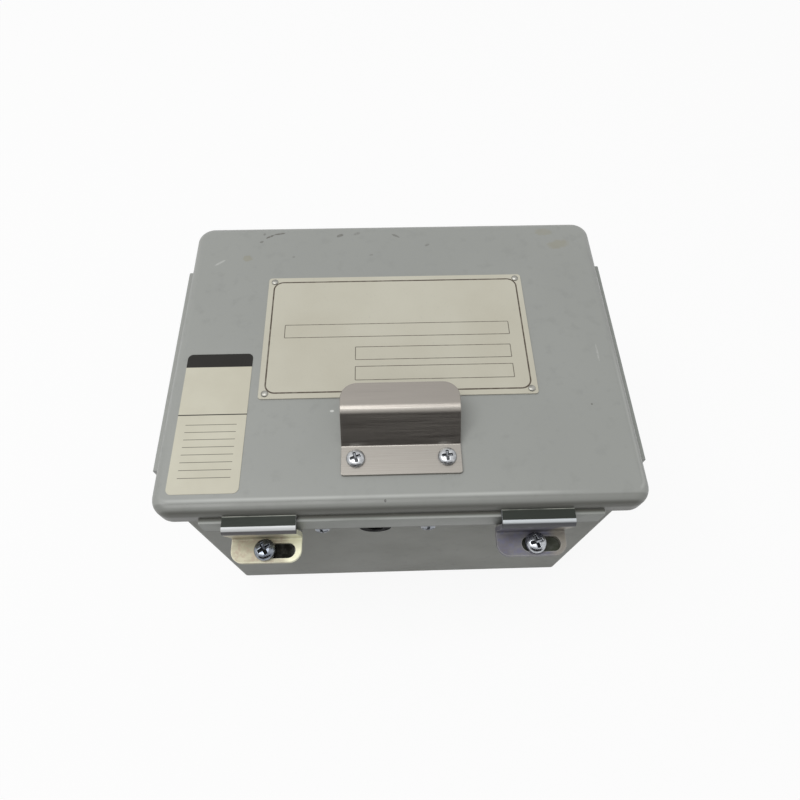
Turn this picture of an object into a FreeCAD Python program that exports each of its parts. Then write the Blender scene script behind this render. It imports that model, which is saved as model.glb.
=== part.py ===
import FreeCAD, Part
import math
import os
import re
import Sketcher

# Pendant connection box: a hinged, clamped steel wall box with its terminals and relays inside.
# Origin on the mounting face, under the middle of the box; +Z out through the lid, -Y to the clamps.

doc = FreeCAD.newDocument("pendant_connection_box")

# Driving dimensions in millimetres
sizes = {
    # box
    "box_w": 203.2, "box_d": 152.4, "box_h": 148.1, "box_wall": 1.5, "box_bend": 2.5, "rim_w": 11.5,
    # mounting feet
    "foot_wall": 2.5, "foot_l": 84.0, "foot_lap": 22.0, "foot_reach": 22.0, "foot_corner": 5.0,
    "foot_hole_out": 12.0, "foot_hole_pitch": 60.0, "foot_hole_r": 3.6,
    # lid
    "lid_side_lap": 4.9, "lid_front_lap": 7.0, "lid_rear_lap": 2.4, "lid_h": 9.5, "lid_wall": 1.5,
    "lid_corner": 9.0, "lid_edge": 4.5, "gasket_h": 6.0, "gasket_w": 8.0, "gasket_gap": 0.2,
    # clamp rails welded round the lid
    "rail_wall": 1.5, "rail_lift": 3.4, "rail_reach": 2.3, "rail_drop": 11.8, "rail_bend": 1.0,
    "rail_front_in": 20.0, "rail_side_in": 24.8, "rail_side_shift": 2.5, "rail_side_reach": 3.2,
    # rear hinge
    "knuckle_r": 2.4, "hinge_pin_r": 1.2, "hinge_pin_gap": 0.05, "hinge_leaf_wall": 1.2, "hinge_in": 16.1,
    "hinge_body_leaf_h": 13.0, "hinge_lid_leaf_h": 4.8, "hinge_out": 3.0, "hinge_gap": 0.4,
    # clamps
    "clamp_in": 26.9, "clamp_w": 31.0, "clamp_wall": 2.0, "clamp_h": 21.3, "clamp_reach": 11.0,
    "clamp_lean": 11.0, "clamp_corner": 5.5, "clamp_bend": 3.0, "clamp_inner_bend": 1.0, "clamp_gap": 0.8,
    "toe_gap": 0.2, "toe_lift": 0.9, "slot_l": 17.4, "slot_w": 6.8, "slot_off": 4.2, "slot_edge": 1.7,
    "clamp_left_shift": 0.75, "clamp_right_shift": 2.4, "clamp_screw_shift": 1.0,
    # clamp screws, washers and anchors
    "clamp_screw_r": 2.4, "clamp_screw_l": 12.0, "clamp_head_r": 4.65, "clamp_head_h": 3.4,
    "clamp_washer_r": 4.5, "clamp_washer_h": 1.2, "clamp_washer_gap": 0.2, "thread_gap": 0.05,
    "anchor_w": 24.0, "anchor_wall": 3.0, "anchor_h": 20.0, "anchor_lip": 3.4, "anchor_gap": 1.3,
    "anchor_bend": 4.5, "anchor_boss_r": 3.3, "anchor_boss_h": 2.0,
    # pull on the lid
    "pull_w": 52.4, "pull_wall": 1.5, "pull_h": 13.5, "pull_setback": 15.1, "pull_foot": 13.3,
    "pull_flange": 13.8, "pull_angle": 45.0, "pull_corner": 8.5, "pull_bend": 2.3, "pull_inner_bend": 0.8,
    "pull_screw_pitch": 39.6, "pull_screw_in": 7.3, "pull_screw_r": 1.75, "pull_screw_l": 9.5,
    "pull_head_r": 4.1, "pull_head_h": 2.7, "pull_nut_af": 7.9, "pull_nut_h": 2.9,
    "pull_foot_corner": 1.2, "screw_hole_gap": 0.2,
    # plates on the lid
    "name_w": 131.0, "name_d": 72.3, "name_wall": 0.8, "name_corner": 1.5, "name_x": 0.7, "name_y": 6.8,
    "rivet_in": 3.6, "rivet_r": 1.0, "rivet_head_r": 1.7, "rivet_head_h": 0.9,
    "label_w": 28.8, "label_d": 69.3, "label_wall": 0.25, "label_corner": 2.5, "label_in": 23.5,
    "label_front": 37.7,
    # cable entry in the front wall
    "entry_left": 12.9, "entry_z": 111.5, "entry_hole_r": 6.5, "entry_plate_w": 68.0, "entry_plate_d": 27.0,
    "entry_plate_wall": 2.0, "entry_plate_corner": 4.0, "entry_screw_pitch": 52.0, "entry_screw_r": 2.0,
    "entry_screw_l": 10.0, "entry_head_r": 3.8, "entry_head_h": 2.6, "entry_nut_af": 7.9, "entry_nut_h": 3.2,
    "grommet_bore_r": 4.0, "grommet_flange_r": 7.8, "grommet_flange": 1.0,
    # sub-panel on collar studs
    "panel_gap": 16.0, "panel_wall": 1.9, "panel_corner": 3.0, "stud_in": 7.0, "stud_r": 2.4, "stud_l": 9.0,
    "collar_r": 4.5, "collar_h": 14.0, "stud_nut_af": 9.5, "stud_nut_h": 4.0,
    # terminal rail and what it carries
    "din_in": 10.6, "din_w": 35.0, "din_h": 7.5, "din_base": 25.0, "din_wall": 1.0, "din_screw_in": 6.0,
    "din_screw_r": 2.0, "din_head_r": 3.6, "din_head_h": 2.4,
    "block_w": 6.0, "block_gap": 0.2, "block_d": 46.0, "block_h": 34.0, "block_step": 9.0, "block_in": 20.0,
    "block_top": 26.0, "hook_h": 2.6, "hook_reach": 1.6, "hook_gap": 0.3,
    "stop_w": 8.0, "stop_h": 22.0,
    "socket_w": 27.0, "socket_d": 68.0, "socket_h": 21.0, "socket_gap": 3.0, "socket_pitch": 28.0,
    "socket_step": 11.0, "socket_step_h": 6.0,
    "relay_w": 21.5, "relay_d": 28.0, "relay_h": 35.0, "relay_corner": 2.0,
    # earth stud
    "earth_in_x": 16.0, "earth_in_y": 24.0, "earth_r": 3.0, "earth_l": 16.0, "earth_nut_af": 10.0,
    "earth_nut_h": 5.0,
}

block_count = 10
knuckle_count = 9
cut_features = []
nodes = []

dims = doc.addObject("Spreadsheet::Sheet", "dims")
for line, (name, size) in enumerate(sizes.items(), start=1):
    dims.set(f"A{line}", name)
    dims.set(f"B{line}", str(size))
    dims.setAlias(f"B{line}", name)
doc.recompute()


# Formulas shared by pieces that seat on each other
floor_z = "(foot_wall + box_wall)"
box_top = "(foot_wall + box_h)"
lid_under = f"({box_top} + gasket_h)"
lid_top = f"({lid_under} + lid_wall)"
skirt_z = f"({lid_top} - lid_h)"
wall_y = "(-box_d / 2)"
lid_w = "(box_w + 2 * lid_side_lap)"
lid_front = f"({wall_y} - lid_front_lap)"
lid_rear = "(box_d / 2 + lid_rear_lap)"
lid_y = "((lid_rear_lap - lid_front_lap) / 2)"
gasket_inset = "(lid_edge - lid_rear_lap + gasket_gap)"
rail_face = f"({lid_front} - rail_reach)"
rail_top = f"({skirt_z} + rail_lift)"
rail_low = f"({rail_top} - rail_drop)"
rail_front_l = f"({lid_w} - 2 * rail_front_in)"
rail_side_l = f"({lid_rear} - {lid_front} - 2 * rail_side_in)"
hinge_l = "(box_w - 2 * hinge_in)"
hinge_y = "(box_d / 2 + hinge_out)"
hinge_z = f"({skirt_z} - hinge_gap - knuckle_r)"
clamp_x = f"({rail_front_l} / 2 - clamp_in)"
screw_places = {"left": f"(-{clamp_x} - clamp_screw_shift)", "right": f"({clamp_x} - clamp_screw_shift)"}
clamp_places = {"left": f"(-{clamp_x} - clamp_left_shift)", "right": f"({clamp_x} - clamp_right_shift)"}
toe_under = f"({rail_top} + toe_lift)"
toe_top = f"({toe_under} + clamp_wall)"
plate_under = f"({toe_top} - clamp_h)"
plate_top = f"({plate_under} + clamp_wall)"


def riser_back(height):
    # the riser leans out from the rail's lower edge
    return f"({rail_face} - clamp_gap + ({rail_low} - {height}) * tan(clamp_lean * 1 deg))"


def riser_front(height):
    return f"({riser_back(height)} - clamp_wall / cos(clamp_lean * 1 deg))"


plate_front = f"({riser_front(plate_top)} - clamp_reach)"
screw_y = f"({plate_front} + slot_edge + slot_w / 2)"
seat_z = f"({plate_under} - anchor_gap)"
pull_front = f"({lid_front} + pull_setback)"
pull_screw_y = f"({pull_front} + pull_screw_in)"
panel_w = "(box_w - 2 * panel_gap)"
panel_d = "(box_d - 2 * panel_gap)"
stud_pitch_x = f"({panel_w} - 2 * stud_in)"
stud_pitch_y = f"({panel_d} - 2 * stud_in)"
earth_x = f"(earth_in_x - {panel_w} / 2)"
earth_y = f"({panel_d} / 2 - earth_in_y)"
din_l = f"({panel_w} - 2 * din_in)"
din_screw_pitch = f"({din_l} - 2 * din_screw_in)"
block_start = f"(block_in - {din_l} / 2)"
block_run = f"({block_count} * (block_w + block_gap))"
socket_start = f"({block_start} + {block_run} + stop_w + socket_gap)"
panel_z = f"({floor_z} + collar_h)"
panel_top = f"({panel_z} + panel_wall)"
din_top = f"({panel_top} + din_h)"
inner_wall_y = f"({wall_y} + box_wall)"
entry_x = "(-entry_left)"
entry_back = f"({inner_wall_y} + entry_plate_wall)"


# Tools: formulas are written with the sheet's aliases as bare words
def formula(text):
    return re.sub(r"[a-z]\w*", lambda word: f"dims.{word[0]}" if word[0] in sizes else word[0], str(text))


def value(text):
    return float(dims.evalExpression(formula(text)))


def bind(thing, prop, text):
    thing.setExpression(prop, formula(text))


def new_body(label, x="0", y="0", z="0", roll=0):
    body = doc.addObject("PartDesign::Body", label)
    body.Label = label
    body.Placement = FreeCAD.Placement(FreeCAD.Vector(), FreeCAD.Rotation(0, 0, roll))
    for axis, text in zip("xyz", (x, y, z)):
        bind(body, f"Placement.Base.{axis}", text)
    return body


def origin_part(body, role):
    return next(item for item in body.Origin.OriginFeatures if item.Role == role)


def sketch_on(body, plane, offset="0"):
    sketch = body.newObject("Sketcher::SketchObject", "Sketch")
    sketch.AttachmentSupport = (origin_part(body, f"{plane}_Plane"), [""])
    sketch.MapMode = "FlatFace"
    bind(sketch, "AttachmentOffset.Base.z", offset)
    return sketch


def limit(sketch, constraint, text):
    index = sketch.addConstraint(constraint)
    bind(sketch, f"Constraints[{index}]", text)


def fix_point(sketch, item, vertex, x, y):
    limit(sketch, Sketcher.Constraint("DistanceX", -1, 1, item, vertex, value(x)), x)
    limit(sketch, Sketcher.Constraint("DistanceY", -1, 1, item, vertex, value(y)), y)


def polygon(sketch, points):
    first = sketch.GeometryCount
    corners = [FreeCAD.Vector(value(x), value(y), 0) for x, y in points]
    for start, end in zip(corners, corners[1:] + corners[:1]):
        sketch.addGeometry(Part.LineSegment(start, end))
    for index, (x, y) in enumerate(points):
        following = first + (index + 1) % len(points)
        sketch.addConstraint(Sketcher.Constraint("Coincident", first + index, 2, following, 1))
        fix_point(sketch, first + index, 1, x, y)
    return sketch


def rectangle(sketch, x0, y0, x1, y1):
    return polygon(sketch, [(x0, y0), (x1, y0), (x1, y1), (x0, y1)])


def circle(sketch, x, y, radius):
    centre = FreeCAD.Vector(value(x), value(y), 0)
    item = sketch.addGeometry(Part.Circle(centre, FreeCAD.Vector(0, 0, 1), value(radius)))
    fix_point(sketch, item, 3, x, y)
    limit(sketch, Sketcher.Constraint("Radius", item, value(radius)), radius)
    return sketch


def straight_run(sketch, start, end):
    ends = [FreeCAD.Vector(value(x), value(y), 0) for x, y in (start, end)]
    item = sketch.addGeometry(Part.LineSegment(*ends))
    fix_point(sketch, item, 1, *start)
    fix_point(sketch, item, 2, *end)


def rounded_rectangle(sketch, x0, y0, x1, y1, radius):
    # straight runs tied to their end points, joined by quarter arcs of one radius
    left, low, right, high = f"({x0})", f"({y0})", f"({x1})", f"({y1})"
    in_left, in_right = f"{left} + {radius}", f"{right} - ({radius})"
    in_low, in_high = f"{low} + {radius}", f"{high} - ({radius})"
    runs = [((in_left, low), (in_right, low)), ((right, in_low), (right, in_high)),
            ((in_right, high), (in_left, high)), ((left, in_high), (left, in_low))]
    centres = [(in_right, in_low), (in_right, in_high), (in_left, in_high), (in_left, in_low)]
    first = sketch.GeometryCount
    for start, end in runs:
        straight_run(sketch, start, end)
    for quarter, (x, y) in enumerate(centres):
        ring = Part.Circle(FreeCAD.Vector(value(x), value(y), 0), FreeCAD.Vector(0, 0, 1), value(radius))
        start, end = math.radians(90 * quarter - 90), math.radians(90 * quarter)
        item = sketch.addGeometry(Part.ArcOfCircle(ring, start, end))
        sketch.addConstraint(Sketcher.Constraint("Coincident", item, 1, first + quarter, 2))
        sketch.addConstraint(Sketcher.Constraint("Coincident", item, 2, first + (quarter + 1) % 4, 1))
        limit(sketch, Sketcher.Constraint("Radius", item, value(radius)), radius)
    return sketch


def rounded_slot(sketch, x, y, length, width):
    # two straight runs along X, closed by half circles
    radius = f"({width} / 2)"
    ends = [f"{x} - ({length} - {width}) / 2", f"{x} + ({length} - {width}) / 2"]
    low, high = f"{y} - {radius}", f"{y} + {radius}"
    first = sketch.GeometryCount
    straight_run(sketch, (ends[0], low), (ends[1], low))
    straight_run(sketch, (ends[1], high), (ends[0], high))
    for turn, end in ((0, ends[1]), (1, ends[0])):
        tip = f"{end} + {radius}" if turn == 0 else f"{end} - {radius}"
        lower, upper = (low, high) if turn == 0 else (high, low)
        through = [(end, lower), (tip, y), (end, upper)]
        item = sketch.addGeometry(Part.Arc(*(FreeCAD.Vector(value(px), value(py), 0) for px, py in through)))
        sketch.addConstraint(Sketcher.Constraint("Coincident", item, 1, first + turn, 2))
        sketch.addConstraint(Sketcher.Constraint("Coincident", item, 2, first + 1 - turn, 1))
        limit(sketch, Sketcher.Constraint("DistanceX", -1, 1, item, 3, value(end)), end)
    return sketch


def hexagon(sketch, across_flats):
    # flats face left and right, so the corners lie on the vertical axis
    half = f"({across_flats}) / 2"
    tip = f"({half}) / cos(30 deg)"
    side = f"({half}) * tan(30 deg)"
    outline = [(half, side), ("0", tip), (f"-({half})", side)]
    return polygon(sketch, outline + [(f"-({half})", f"-({side})"), ("0", f"-({tip})"), (half, f"-({side})")])


def pad(body, sketch, length):
    feature = body.newObject("PartDesign::Pad", "Pad")
    feature.Profile = sketch
    bind(feature, "Length", length)
    return feature


def pocket(body, sketch, length, reach_forward=True):
    # the cut runs along the sketch's normal, or against it
    feature = body.newObject("PartDesign::Pocket", "Pocket")
    feature.Profile = sketch
    feature.Reversed = reach_forward
    bind(feature, "Length", length)
    cut_features.append(feature)
    return feature


def revolve(body, sketch):
    feature = body.newObject("PartDesign::Revolution", "Revolution")
    feature.Profile = sketch
    feature.ReferenceAxis = (sketch, ["V_Axis"])
    feature.Angle = 360
    return feature


def row(body, features, axis, length, count):
    pattern = body.newObject("PartDesign::LinearPattern", "Row")
    pattern.Originals = features
    pattern.Direction = (origin_part(body, f"{axis}_Axis"), [""])
    bind(pattern, "Length", length)
    pattern.Occurrences = count
    body.Tip = pattern
    return pattern


def grid(body, features, length_x, length_y):
    # two by two copies
    pattern = row(body, features, "X", length_x, 2)
    pattern.Direction2 = (origin_part(body, "Y_Axis"), [""])
    bind(pattern, "Length2", length_y)
    pattern.Occurrences2 = 2
    return pattern


def dress_edges(body, kind, prop, size, chosen):
    doc.recompute()
    base = body.Tip
    names = [f"Edge{number}" for number, edge in enumerate(base.Shape.Edges, start=1) if chosen(edge)]
    feature = body.newObject(f"PartDesign::{kind}", kind)
    feature.Base = (base, names)
    bind(feature, prop, size)
    return feature


def round_edges(body, radius, chosen):
    return dress_edges(body, "Fillet", "Radius", radius, chosen)


def bevel_edges(body, size, chosen):
    return dress_edges(body, "Chamfer", "Size", size, chosen)


def along(edge, axis):
    first, last = edge.Vertexes[0].Point, edge.Vertexes[-1].Point
    across = [abs(last[i] - first[i]) for i in range(3) if i != axis]
    return len(edge.Vertexes) == 2 and max(across) < 1e-6 and edge.Curve.TypeId == "Part::GeomLine"


def edge_at(axis, **places):
    # picks straight edges along one axis, at the given formulas for the other coordinates
    targets = {"xyz".index(letter): value(text) for letter, text in places.items()}

    def chosen(edge):
        middle = edge.CenterOfMass
        return along(edge, axis) and all(abs(middle[i] - target) < 1e-4 for i, target in targets.items())
    return chosen


def any_of(*choices):
    return lambda edge: any(choice(edge) for choice in choices)


def level_at(text):
    # picks every edge that lies in one level plane
    height = value(text)
    return lambda edge: abs(edge.BoundBox.ZMin - height) < 1e-4 and abs(edge.BoundBox.ZMax - height) < 1e-4


def rounded_plate(label, centre_x, centre_y, low, width, depth, wall, corner):
    body = new_body(label)
    sketch = sketch_on(body, "XY", low)
    left, right = f"{centre_x} - {width} / 2", f"{centre_x} + {width} / 2"
    front, back = f"{centre_y} - {depth} / 2", f"{centre_y} + {depth} / 2"
    pad(body, rectangle(sketch, left, front, right, back), wall)
    round_edges(body, corner, lambda edge: along(edge, 2))
    return body


def headed_pin(body, head_r, head_h, shank_r, shank_l):
    # the underside of the head is the body's own level zero, the shank points down
    sketch = sketch_on(body, "XZ")
    polygon(sketch, [("0", f"-{shank_l}"), (shank_r, f"-{shank_l}"), (shank_r, "0"), (head_r, "0"),
                     (head_r, head_h), ("0", head_h)])
    return [revolve(body, sketch)]


def pan_screw(body, head_r, head_h, shank_r, shank_l):
    turned = headed_pin(body, head_r, head_h, shank_r, shank_l)
    return turned + [bevel_edges(body, f"0.5 * {head_h}", level_at(head_h))]


def hex_nut(body, across_flats, height, bore):
    blank = pad(body, hexagon(sketch_on(body, "XY"), across_flats), height)
    hole = pocket(body, circle(sketch_on(body, "XY"), "0", "0", bore), height)
    return [blank, hole]


def keep(body):
    nodes.append(body)


# Box: folded steel tray with an inward rim, cable hole and two screw holes in the front wall
def make_box():
    body = new_body("box_shell")
    outline = sketch_on(body, "XY", "foot_wall")
    pad(body, rectangle(outline, "-box_w / 2", wall_y, "box_w / 2", "box_d / 2"), "box_h")
    round_edges(body, "box_bend", lambda edge: along(edge, 2))
    round_edges(body, "box_bend", level_at("foot_wall"))
    inside = sketch_on(body, "XY", floor_z)
    rectangle(inside, "box_wall - box_w / 2", inner_wall_y, "box_w / 2 - box_wall", "box_d / 2 - box_wall")
    pocket(body, inside, "box_h - 2 * box_wall")
    mouth = sketch_on(body, "XY", f"{box_top} - box_wall")
    rectangle(mouth, "rim_w - box_w / 2", f"{wall_y} + rim_w", "box_w / 2 - rim_w", "box_d / 2 - rim_w")
    pocket(body, mouth, "box_wall")
    holes = sketch_on(body, "XZ", "box_d / 2")
    circle(holes, entry_x, "entry_z", "entry_hole_r")
    for side in "-+":
        circle(holes, f"{entry_x} {side} entry_screw_pitch / 2", "entry_z", "entry_screw_r + screw_hole_gap")
    pocket(body, holes, "box_wall", reach_forward=False)
    keep(body)


# Mounting feet: flat steel tabs welded under the box, with two bolt holes each
def make_foot(label, side):
    body = rounded_plate(label, f"{side} * (box_w / 2 + (foot_reach - foot_lap) / 2)", "0", "0",
                         "(foot_lap + foot_reach)", "foot_l", "foot_wall", "foot_corner")
    holes = sketch_on(body, "XY")
    for end in "-+":
        circle(holes, f"{side} * (box_w / 2 + foot_hole_out)", f"{end} foot_hole_pitch / 2", "foot_hole_r")
    pocket(body, holes, "foot_wall")
    keep(body)


# Lid: drawn pan with soft edges, pierced for the pull's screws and the plate's rivets
def make_lid():
    body = new_body("lid_shell")
    outline = sketch_on(body, "XY", skirt_z)
    pad(body, rectangle(outline, f"-{lid_w} / 2", lid_front, f"{lid_w} / 2", lid_rear), "lid_h")
    round_edges(body, "lid_corner", lambda edge: along(edge, 2))
    round_edges(body, "lid_edge", level_at(lid_top))
    inside = sketch_on(body, "XY", skirt_z)
    rounded_rectangle(inside, f"lid_wall - {lid_w} / 2", f"{lid_front} + lid_wall", f"{lid_w} / 2 - lid_wall",
                      f"{lid_rear} - lid_wall", "lid_corner - lid_wall")
    pocket(body, inside, "lid_h - lid_wall")
    bevel_edges(body, "0.6 * (lid_edge - lid_wall)", level_at(lid_under))
    holes = sketch_on(body, "XY", lid_under)
    for side in "-+":
        circle(holes, f"{side} pull_screw_pitch / 2", pull_screw_y, "pull_screw_r + screw_hole_gap")
        for end in "-+":
            circle(holes, f"name_x {side} (name_w / 2 - rivet_in)",
                   f"{lid_y} + name_y {end} (name_d / 2 - rivet_in)", "rivet_r")
    pocket(body, holes, "lid_wall")
    keep(body)


# Gasket: sponge ring bonded under the lid, seated on the rim of the box
def make_gasket():
    body = new_body("lid_gasket")
    ring = sketch_on(body, "XY", box_top)
    for inset in (gasket_inset, f"{gasket_inset} + gasket_w"):
        rectangle(ring, f"{inset} - box_w / 2", f"{wall_y} + {inset}", f"box_w / 2 - ({inset})",
                  f"box_d / 2 - ({inset})")
    pad(body, ring, "gasket_h")
    keep(body)


# Clamp rails: bent strips welded to the lid's skirt, with a lip that hangs down outside the box
def rail_outline(sketch, back, face, inward):
    inner = f"{face} {inward} rail_wall"
    ledge = f"{rail_top} - rail_wall"
    return polygon(sketch, [(back, rail_top), (face, rail_top), (face, rail_low), (inner, rail_low),
                            (inner, ledge), (back, ledge)])


def make_front_rail():
    body = new_body("lid_rail_front")
    sketch = sketch_on(body, "YZ", f"-{rail_front_l} / 2")
    pad(body, rail_outline(sketch, lid_front, rail_face, "+"), rail_front_l)
    round_edges(body, "rail_bend", edge_at(0, y=rail_face, z=rail_top))
    keep(body)


def make_side_rail(label, side):
    body = new_body(label)
    sketch = sketch_on(body, "XZ", f"rail_side_shift - {lid_y} - {rail_side_l} / 2")
    inward = "-" if side > 0 else "+"
    face = f"({side} * ({lid_w} / 2 + rail_side_reach))"
    pad(body, rail_outline(sketch, f"{side} * {lid_w} / 2", face, inward), rail_side_l)
    round_edges(body, "rail_bend", edge_at(1, x=face, z=rail_top))
    keep(body)


# Rear hinge: two leaves with alternate knuckles on one pin
knuckle_l = f"({hinge_l} / {knuckle_count})"


def make_hinge_leaf(label, leaf, tab, first, bore):
    body = new_body(label)
    pad(body, rectangle(sketch_on(body, "YZ", f"-{hinge_l} / 2"), *leaf), hinge_l)
    start = f"{first} * {knuckle_l} + hinge_gap / 2 - {hinge_l} / 2"
    length = f"{knuckle_l} - hinge_gap"
    barrel = pad(body, circle(sketch_on(body, "YZ", start), hinge_y, hinge_z, "knuckle_r"), length)
    strap = pad(body, rectangle(sketch_on(body, "YZ", start), *tab), length)
    count = (knuckle_count + 1) // 2 - first
    row(body, [barrel, strap], "X", f"{2 * (count - 1)} * {knuckle_l}", count)
    pocket(body, circle(sketch_on(body, "YZ", f"-{hinge_l} / 2"), hinge_y, hinge_z, bore), hinge_l)
    keep(body)


def make_hinge():
    body_leaf_top = f"{hinge_z} - knuckle_r - hinge_gap"
    body_leaf = ("box_d / 2", f"{body_leaf_top} - hinge_body_leaf_h",
                 "box_d / 2 + hinge_leaf_wall", body_leaf_top)
    body_tab = (body_leaf[0], body_leaf_top, body_leaf[2], hinge_z)
    make_hinge_leaf("hinge_body_leaf", body_leaf, body_tab, 0, "hinge_pin_r")
    lid_leaf = (lid_rear, skirt_z, f"{lid_rear} + hinge_leaf_wall", f"{skirt_z} + hinge_lid_leaf_h")
    lid_tab = (lid_rear, hinge_z, lid_leaf[2], skirt_z)
    make_hinge_leaf("hinge_lid_leaf", lid_leaf, lid_tab, 1, "hinge_pin_r + hinge_pin_gap")
    pin = new_body("hinge_pin")
    pad(pin, circle(sketch_on(pin, "YZ", f"-{hinge_l} / 2"), hinge_y, hinge_z, "hinge_pin_r"), hinge_l)
    keep(pin)


# Clamp: bent plate whose riser leans out round the rail and whose toe laps it, slotted for its screw
def make_clamp(label, middle):
    body = new_body(label)
    profile = sketch_on(body, "YZ", f"{middle} - clamp_w / 2")
    tip = f"{lid_front} - toe_gap"
    nose, hollow = riser_front(toe_top), riser_back(toe_under)
    foot, heel = riser_front(plate_top), riser_back(plate_under)
    polygon(profile, [(tip, toe_top), (nose, toe_top), (foot, plate_top), (plate_front, plate_top),
                      (plate_front, plate_under), (heel, plate_under), (hollow, toe_under), (tip, toe_under)])
    pad(body, profile, "clamp_w")
    round_edges(body, "clamp_bend", any_of(edge_at(0, y=nose, z=toe_top), edge_at(0, y=heel, z=plate_under)))
    round_edges(body, "clamp_inner_bend", any_of(edge_at(0, y=foot, z=plate_top),
                                                 edge_at(0, y=hollow, z=toe_under)))
    round_edges(body, "clamp_corner", edge_at(2, y=plate_front))
    slot = sketch_on(body, "XY", plate_under)
    pocket(body, rounded_slot(slot, f"{middle} + slot_off", screw_y, "slot_l", "slot_w"), "clamp_wall")
    keep(body)


# Clamp anchor: bent bracket on the front wall with a tapped boss for the clamp's screw
def make_anchor(label, middle):
    body = new_body(label)
    profile = sketch_on(body, "YZ", f"{middle} - anchor_w / 2")
    tip = f"{screw_y} - anchor_lip"
    inner = f"{wall_y} - anchor_wall"
    low, under = f"{seat_z} - anchor_h", f"{seat_z} - anchor_wall"
    polygon(profile, [(wall_y, seat_z), (tip, seat_z), (tip, under), (inner, under), (inner, low),
                      (wall_y, low)])
    pad(body, profile, "anchor_w")
    round_edges(body, "anchor_bend", edge_at(0, y=inner, z=under))
    boss = sketch_on(body, "XY", f"{under} - anchor_boss_h")
    pad(body, circle(boss, middle, screw_y, "anchor_boss_r"), "anchor_boss_h")
    bore = sketch_on(body, "XY", f"{under} - anchor_boss_h")
    circle(bore, middle, screw_y, "clamp_screw_r + thread_gap")
    pocket(body, bore, "anchor_boss_h + anchor_wall")
    keep(body)


def make_clamp_screw(side, middle):
    washer = new_body(f"clamp_washer_{side}", middle, screw_y, plate_top)
    ring = circle(sketch_on(washer, "XY"), "0", "0", "clamp_washer_r")
    circle(ring, "0", "0", "clamp_screw_r + clamp_washer_gap")
    pad(washer, ring, "clamp_washer_h")
    keep(washer)
    screw = new_body(f"clamp_screw_{side}", middle, screw_y, f"{plate_top} + clamp_washer_h")
    pan_screw(screw, "clamp_head_r", "clamp_head_h", "clamp_screw_r", "clamp_screw_l")
    keep(screw)


# Pull: bent stainless finger plate on the lid, with two screws and nuts
def make_pull():
    body = new_body("pull_bracket")
    profile = sketch_on(body, "YZ", "-pull_w / 2")
    heel = f"({pull_front} + pull_foot)"
    crest = f"({heel} + (pull_h - pull_wall) / tan(pull_angle * 1 deg))"
    end = f"({crest} + pull_flange)"
    lag = "pull_wall * tan(pull_angle * 0.5 deg)"
    low, foot_top = lid_top, f"{lid_top} + pull_wall"
    high, high_under = f"{lid_top} + pull_h", f"{lid_top} + pull_h - pull_wall"
    heel_under, crest_under = f"({heel} + {lag})", f"({crest} + {lag})"
    polygon(profile, [(pull_front, low), (heel_under, low), (crest_under, high_under), (end, high_under),
                      (end, high), (crest, high), (heel, foot_top), (pull_front, foot_top)])
    pad(body, profile, "pull_w")
    round_edges(body, "pull_bend", any_of(edge_at(0, y=crest, z=high), edge_at(0, y=heel_under, z=low)))
    round_edges(body, "pull_inner_bend", any_of(edge_at(0, y=heel, z=foot_top),
                                                edge_at(0, y=crest_under, z=high_under)))
    round_edges(body, "pull_corner", edge_at(2, y=end))
    round_edges(body, "pull_foot_corner", edge_at(2, y=pull_front))
    holes = sketch_on(body, "XY", lid_top)
    for side in "-+":
        circle(holes, f"{side} pull_screw_pitch / 2", pull_screw_y, "pull_screw_r + screw_hole_gap")
    pocket(body, holes, "pull_wall")
    keep(body)

    screws = new_body("pull_screws", "-pull_screw_pitch / 2", pull_screw_y, f"{lid_top} + pull_wall")
    turned = pan_screw(screws, "pull_head_r", "pull_head_h", "pull_screw_r", "pull_screw_l")
    row(screws, turned, "X", "pull_screw_pitch", 2)
    keep(screws)

    nuts = new_body("pull_nuts", "-pull_screw_pitch / 2", pull_screw_y, f"{lid_under} - pull_nut_h")
    row(nuts, hex_nut(nuts, "pull_nut_af", "pull_nut_h", "pull_screw_r"), "X", "pull_screw_pitch", 2)
    keep(nuts)


# Blank nameplate with four rivets, and a thin blank label
def make_plates():
    plate = rounded_plate("nameplate", "name_x", f"{lid_y} + name_y", lid_top, "name_w", "name_d",
                          "name_wall", "name_corner")
    holes = sketch_on(plate, "XY", lid_top)
    for side in "-+":
        for end in "-+":
            circle(holes, f"name_x {side} (name_w / 2 - rivet_in)",
                   f"{lid_y} + name_y {end} (name_d / 2 - rivet_in)", "rivet_r")
    pocket(plate, holes, "name_wall")
    keep(plate)

    rivets = new_body("nameplate_rivets", "name_x - (name_w / 2 - rivet_in)",
                      f"{lid_y} + name_y - (name_d / 2 - rivet_in)", f"{lid_top} + name_wall")
    turned = headed_pin(rivets, "rivet_head_r", "rivet_head_h", "rivet_r", "(name_wall + lid_wall)")
    grid(rivets, turned, "name_w - 2 * rivet_in", "name_d - 2 * rivet_in")
    keep(rivets)

    keep(rounded_plate("side_label", f"(label_in - {lid_w} / 2)", f"({lid_y} - label_front)", lid_top,
                       "label_w", "label_d", "label_wall", "label_corner"))


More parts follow.
